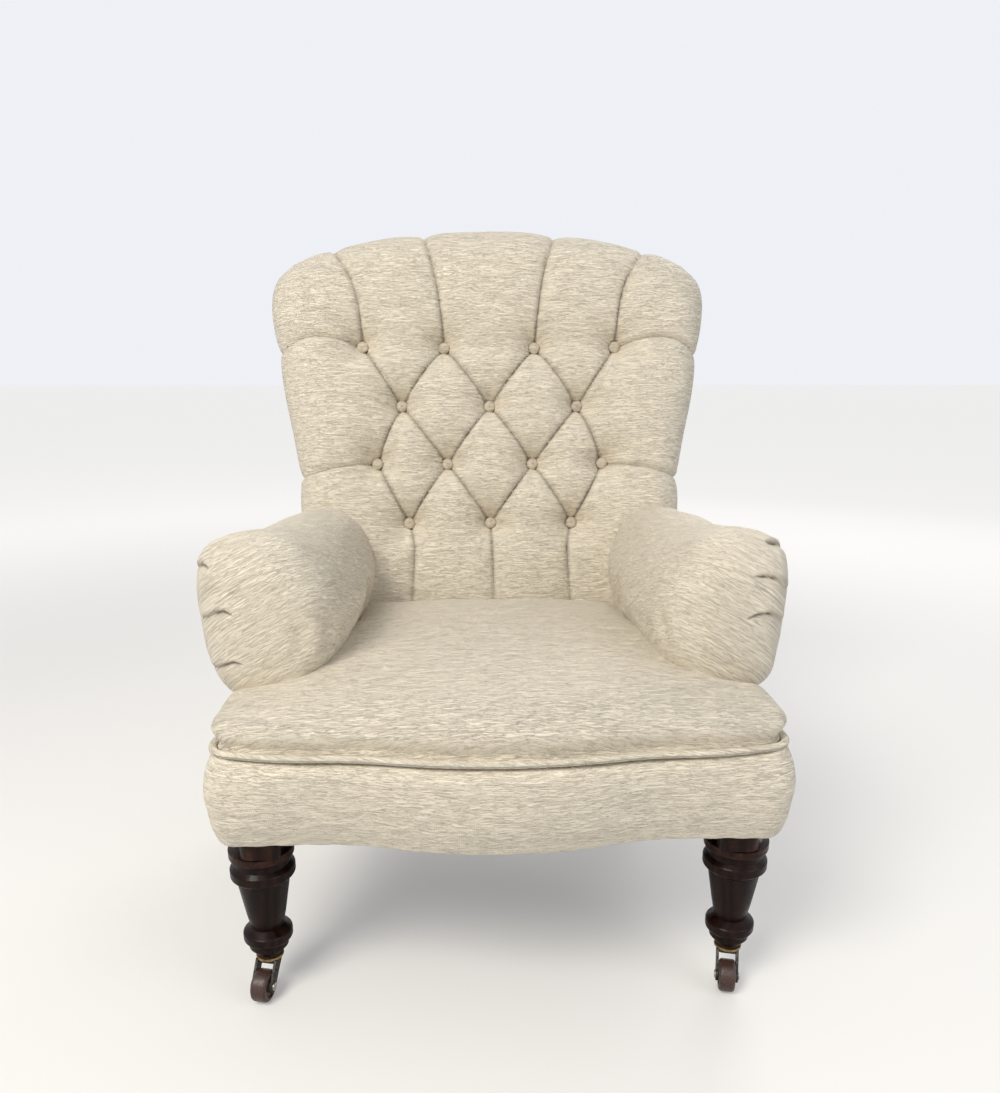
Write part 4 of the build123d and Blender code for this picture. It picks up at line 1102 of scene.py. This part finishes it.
section_loops = {y: closed_curve(np.array(knots), arm_section_points) for y, knots in arm_sections}
arm_rows = [(y, *(arm_middle + share * (section_loops[-0.190] - arm_middle)).ravel()) for y, share in arm_boss]
arm_rows += [(y, *loop.ravel()) for y, loop in section_loops.items()]
arm_rows = smooth_line(arm_rows, arm_section_step * 4)
arm_loops = []
for row in arm_rows:
    section = arm_middle + arm_undersize * (row[1:].reshape(-1, 2) - arm_middle)
    arm_loops.append([(x, row[0], z) for x, z in section])
arm_points = [point for loop in arm_loops for point in loop]
arm_cover = new_piece("arm_cover_left", arm_points, skin_between(arm_loops), cream_cover)
even_skin(arm_cover, arm_skin, arm_relax)
swell(arm_cover, arm_swell)
refine(arm_cover)


def arm_cloth(places):
    """The cover's place on the flat cloth: its ribs run across the arm on the cross."""
    x, y, z = np.abs(places[:, 0]), places[:, 1], places[:, 2]
    return 1.1 * y - 0.85 * x + 0.25 * z, z + 0.55 * x + 0.45 * y


def mirror_piece(piece, name):
    """The same piece for the sitter's right side."""
    mesh = piece.data.copy()
    twin = add_piece(name, mesh, piece.data.materials[0])
    places = places_of(twin) * (-1, 1, 1)
    move_to(twin, places)
    mesh.flip_normals()
    return twin


# Pleats that take up the fullness of each front, from the outer edge inward. The two arms
# were pleated by hand, so they differ. Places are for the left arm, or its mirror image.
left_pleats = (
    ((0.354, -0.200, 0.549), (0.3344, -0.2156, 0.5545), (0.318, -0.2246, 0.560)),
    ((0.352, -0.228, 0.500), (0.3251, -0.2495, 0.5176), (0.3108, -0.2528, 0.5205), (0.296, -0.2538, 0.520)),
    ((0.350, -0.228, 0.460), (0.3218, -0.2528, 0.4744), (0.3047, -0.2579, 0.4740), (0.290, -0.2585, 0.467)),
)
right_pleats = (
    ((0.358, -0.205, 0.526), (0.3450, -0.2280, 0.5330), (0.334, -0.2400, 0.529)),
    ((0.350, -0.228, 0.470), (0.3276, -0.2498, 0.4825), (0.3183, -0.2547, 0.4830), (0.306, -0.2563, 0.476)),
    ((0.346, -0.228, 0.408), (0.3238, -0.2459, 0.4180), (0.3146, -0.2525, 0.4212), (0.300, -0.2561, 0.417)),
)
left_hollows = (
    ((0.2237, -0.2509, 0.4797), (0.2270, -0.2540, 0.4480)),
    ((0.1977, -0.2181, 0.4654), (0.2010, -0.2250, 0.4300)),
)
right_hollows = (
    ((0.2357, -0.2558, 0.4684), (0.2333, -0.2550, 0.4534), (0.2329, -0.2527, 0.4291)),
    ((0.2113, -0.2402, 0.4709), (0.2023, -0.2258, 0.4577), (0.2055, -0.2221, 0.4311)),
)
front_seam = ((0.350, -0.170, 0.555), (0.357, -0.205, 0.520), (0.352, -0.222, 0.480),
              (0.343, -0.225, 0.440), (0.330, -0.222, 0.395))
pleat_slit = 0.0060
pleat_slit_width = 0.0011
pleat_lip = 0.0020
pleat_lip_place = 0.005
pleat_tuck = 0.0028
pleat_tuck_width = 0.013
pleat_room = 0.009
# How strongly the pleats' slits are painted with shade.
pleat_dark = 0.9
seam_depth = 0.0022
seam_width = 0.0016
hollow_depth = 0.0062
hollow_width = 0.0125
well_depth = 0.0130
well_width = 0.0150


def line_on(piece, knots, mirror):
    """A smooth line through places laid down on a piece's surface."""
    laid = [piece.closest_point_on_mesh(Vector(knot) * Vector((mirror, 1, 1)))[1] for knot in knots]
    return smooth_line([tuple(spot) for spot in laid], 0.003)


def finer_near(piece, lines, room):
    """Divide the faces near some lines, so that a narrow fold has points enough."""
    away = np.min([nearest_on(line, places_of(piece))[0] for line in lines], axis=0)
    work = bmesh.new()
    work.from_mesh(piece.data)
    work.verts.ensure_lookup_table()
    near = {vert for vert, distance in zip(work.verts, away) if distance < room}
    edges = [edge for edge in work.edges if edge.verts[0] in near and edge.verts[1] in near]
    bmesh.ops.subdivide_edges(work, edges=edges, cuts=2, use_grid_fill=True)
    for face in work.faces:
        face.smooth = True
    work.to_mesh(piece.data)
    work.free()


def pleat(line, places):
    """How a pleat lifts the cover, with a puffed lip above and a tuck below, and how far each point lies in its slit,
    for painted shade.
    """
    distance, share, feet, side = nearest_on(line, places)
    above = ease(places[:, 2] - feet[:, 2], -0.0015, 0.0015)
    fade = (1 - ease(share, 0.75, 1.0)) * ease(share, -0.2, 0.3)
    lip = pleat_lip * np.exp(-(((distance - pleat_lip_place) / pleat_lip_place) ** 2)) * above
    tuck = pleat_tuck * np.exp(-distance / pleat_tuck_width) * (1 - above)
    slit = np.exp(-distance / (pleat_slit_width * (1.9 - share)))
    return fade * (lip - tuck - pleat_slit * slit), fade * slit


def groove(line, places, depth, width):
    """A rounded valley along a line."""
    distance, share, feet, side = nearest_on(line, places)
    along = 0.4 + 0.6 * np.sin(math.pi * share)
    return -depth * along * np.exp(-((distance / width) ** 2))


# The sitter's right arm is stuffed a little fuller on its outer side.
fuller_side = 0.008
arm_twin = mirror_piece(arm_cover, "arm_cover_right")
twin_places = places_of(arm_twin)
fuller_share = ease(-twin_places[:, 0], 0.285, 0.345) * ease(twin_places[:, 2], 0.375, 0.430)
twin_places[:, 0] -= fuller_side * fuller_share
move_to(arm_twin, twin_places)
arm_details = (
    (arm_cover, "left", 1, left_pleats, left_hollows, 11.0),
    (arm_twin, "right", -1, right_pleats, right_hollows, 23.0),
)
for arm, side_name, mirror, pleats, hollows, seed in arm_details:
    pleat_lines = [line_on(arm, knots, mirror) for knots in pleats]
    hollow_lines = [line_on(arm, knots, mirror) for knots in hollows]
    seam_line = line_on(arm, front_seam, mirror)
    low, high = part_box("arm_button_" + side_name)
    found, well_spot, well_out, face = arm.closest_point_on_mesh((low + high) / 2)
    finer_near(arm, pleat_lines, pleat_room)
    arm_places = places_of(arm)
    lift = rumples(arm_places, 12.0, seed) * 0.0024 + rumples(arm_places, 30.0, seed) * 0.0008
    dark = np.zeros(len(arm_places))
    for line in pleat_lines:
        more_lift, slit = pleat(line, arm_places)
        lift += more_lift
        dark = np.maximum(dark, slit)
    for line in hollow_lines:
        lift += groove(line, arm_places, hollow_depth, hollow_width)
    lift += groove(seam_line, arm_places, seam_depth, seam_width)
    # The button draws the cover in at the arm's inner side.
    well_away = np.linalg.norm(arm_places - well_spot, axis=1)
    lift -= well_depth * np.exp(-np.maximum(well_away - button_radius, 0) / well_width)
    arm_places += normals_of(arm) * lift[:, None]
    move_to(arm, arm_places)
    lay_cloth(arm, *arm_cloth(arm_places))
    # The pleats' slits get painted shade.
    mark_folds(arm, pleat_dark * dark)
    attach(arm, "chair")
    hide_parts("arm_pad_" + side_name)
    button_spot = well_spot - (well_depth - button_dome * 0.75) * well_out
    new_buttons("arm_button_cover_" + side_name, [button_spot], well_out, "arm_button_" + side_name)


# Outside arms: a flat padded panel each, slip-stitched under the roll and tacked below.
panel_skin = 0.004
panel_relax = 4
panel_swell = 0.004

panel = add_piece("outside_arm_cover_left", nodes["outside_arm_panel_left"].data.copy(), cream_cover)
even_skin(panel, panel_skin, panel_relax)
swell(panel, panel_swell)
refine(panel)
panel_twin = mirror_piece(panel, "outside_arm_cover_right")
for outside, side_name, seed in ((panel, "left", 31.0), (panel_twin, "right", 37.0)):
    panel_places = places_of(outside)
    panel_places += normals_of(outside) * (rumples(panel_places, 11.0, seed) * 0.0016)[:, None]
    move_to(outside, panel_places)
    lay_cloth(outside, panel_places[:, 1], panel_places[:, 2])
    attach(outside, "chair")
    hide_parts("outside_arm_panel_" + side_name)


# Outside back: one flat piece of the cover over wadding, turned in and slip-stitched down
# both sides and along the crest, and tacked under the back rail.
panel_margin = 0.002
panel_pillow = 0.004
panel_foot = -0.067
# Its lower sides lap over the rear edges of the outside arms, where they are stitched down.
panel_foot_half = 0.2985
panel_lap = 0.0045
panel_lap_fade = (0.020, 0.130)
panel_rows = 90
panel_columns = 84

side_lap = panel_lap * (1 - ease(right_side[:, 1], *panel_lap_fade)) - panel_margin
lapped_side = right_side + np.stack([side_lap, np.zeros(len(side_lap))], axis=1)
panel_side = np.vstack([[(panel_foot_half, panel_foot)], lapped_side])
panel_top = whole_top * (0.994, 1) - (0, panel_margin)
panel_side[-1] = panel_top[-1]
side_curve = along_line(panel_side, np.linspace(0, 1, panel_rows))
panel_plan = patch(
    side_curve * (-1, 1),
    side_curve,
    np.stack([np.linspace(-panel_foot_half, panel_foot_half, panel_columns), np.full(panel_columns, panel_foot)], axis=1),
    along_line(panel_top, np.linspace(0, 1, panel_columns)),
)
panel_flat = panel_plan.reshape(-1, 2)
panel_edge = np.vstack([side_curve, along_line(panel_top, np.linspace(1, 0, panel_columns)),
                        (side_curve * (-1, 1))[::-1], [side_curve[0]]])
edge_distance, share, feet, side = nearest_on(panel_edge, panel_flat)
pillow = panel_pillow * (1 - np.exp(-edge_distance / 0.012))
ripples = np.array([noise.noise(Vector((x * 7, height * 7, 9.0))) for x, height in panel_flat])
stitch_draw = 0.0007 * np.cos(2 * math.pi * (panel_flat[:, 0] + panel_flat[:, 1]) / 0.011)
depth = -pillow - 0.0015 * ripples * ease(edge_distance, 0, 0.05) + stitch_draw * np.exp(-edge_distance / 0.004)
outer = back_origin + panel_flat[:, :1] * np.array((1.0, 0, 0)) + panel_flat[:, 1:] * back_up + depth[:, None] * back_out
inner = outer + (0.0035 - depth)[:, None] * back_out
size = panel_rows * panel_columns
panel_index = np.arange(size).reshape(panel_rows, panel_columns)
panel_faces = []
for row in range(panel_rows - 1):
    for column in range(panel_columns - 1):
        corner = (
            panel_index[row, column], panel_index[row, column + 1],
            panel_index[row + 1, column + 1], panel_index[row + 1, column],
        )
        panel_faces += [corner, tuple(size + index for index in reversed(corner))]
rim = np.concatenate([panel_index[0], panel_index[1:, -1], panel_index[-1, -2::-1], panel_index[-2:0:-1, 0]])
for here, after in zip(rim, np.roll(rim, -1)):
    panel_faces.append((here, after, size + after, size + here))
outside_back = new_piece("outside_back_cover", np.vstack([outer, inner]), panel_faces, cream_cover)
lay_cloth(outside_back, *np.vstack([panel_flat, panel_flat]).T)
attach(outside_back, "chair")
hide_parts("outside_back_panel")




# Studio: a plain pale floor, soft light from the front left and above, and a camera at eye
# height, close to the chair and tilted down, as in the photograph.
floor_colour = (0.72, 0.71, 0.69, 1)
floor_size = 40.0
floor_lift = 0.25
far_lift = 0.66
near_reach = 1.3
far_reach = 3.6
floor_mesh = bpy.data.meshes.new("floor")
half = floor_size / 2
floor_mesh.from_pydata([(-half, -half, 0), (half, -half, 0), (half, half, 0), (-half, half, 0)], [], [(0, 1, 2, 3)])
floor = bpy.data.objects.new("floor", floor_mesh)
bpy.context.scene.collection.objects.link(floor)
floor_finish, tree, shader = new_material("pale_floor", Roughness=0.9)
shader.inputs["Base Color"].default_value = floor_colour
# The lamps fall off with distance, so what the camera sees of the floor is lifted, and more
# so away from the chair, where it meets the backdrop.
shader.inputs["Emission Color"].default_value = floor_colour
seen = place(tree, "ShaderNodeLightPath").outputs["Is Camera Ray"]
from_chair = place(tree, "ShaderNodeVectorMath", (), {"Vector": object_place(tree)})
from_chair.operation = "LENGTH"
lift = spread(tree, from_chair.outputs["Value"], near_reach, far_reach, floor_lift, far_lift)
tree.links.new(math_node(tree, "MULTIPLY", seen, lift), shader.inputs["Emission Strength"])
floor_mesh.materials.append(floor_finish)

world = bpy.data.worlds.new("studio")
bpy.context.scene.world = world
world.use_nodes = True
tree = world.node_tree
backdrop = tree.nodes["Background"]
backdrop.inputs["Color"].default_value = (0.93, 0.95, 1.0, 1)
seen = place(tree, "ShaderNodeLightPath").outputs
shows = math_node(tree, "MAXIMUM", seen["Is Camera Ray"], seen["Is Glossy Ray"])
shows = math_node(tree, "MAXIMUM", shows, seen["Is Transmission Ray"])
world_light = 0.5
strength = place(
    tree, "ShaderNodeMapRange", (), {"Value": shows, "To Min": world_light, "To Max": 0.92}
).outputs["Result"]
tree.links.new(strength, backdrop.inputs["Strength"])


def soft_light(name, position, aim, size, watts, colour):
    """A square soft lamp pointed at a place."""
    lamp = bpy.data.lights.new(name, "AREA")
    lamp.size = size
    lamp.energy = watts
    lamp.color = colour
    stand = bpy.data.objects.new(name, lamp)
    stand.location = position
    stand.rotation_euler = (Vector(aim) - Vector(position)).to_track_quat("-Z", "Y").to_euler()
    bpy.context.scene.collection.objects.link(stand)


chair_middle = (0.0, 0.0, 0.5)
soft_light("key", (-1.3, -1.9, 2.5), chair_middle, 1.3, 70, (1.0, 0.95, 0.87))
soft_light("fill", (2.4, -1.6, 1.5), chair_middle, 1.8, 18, (0.94, 0.97, 1.0))
soft_light("rim", (1.2, 2.2, 2.2), chair_middle, 1.2, 22, (1.0, 0.98, 0.95))

camera_data = bpy.data.cameras.new("view")
camera_data.lens = 29.64
camera_data.sensor_width = 36
camera_data.shift_y = 0.0672
camera = bpy.data.objects.new("view", camera_data)
camera.location = (-0.033, -1.269, 0.775)
camera_tilt = math.radians(16.69)
camera_turn = math.radians(1.89)
camera.rotation_euler = (math.pi / 2 - camera_tilt, 0, -camera_turn)
bpy.context.scene.collection.objects.link(camera)
bpy.context.scene.camera = camera
bpy.context.scene.view_settings.view_transform = "Standard"
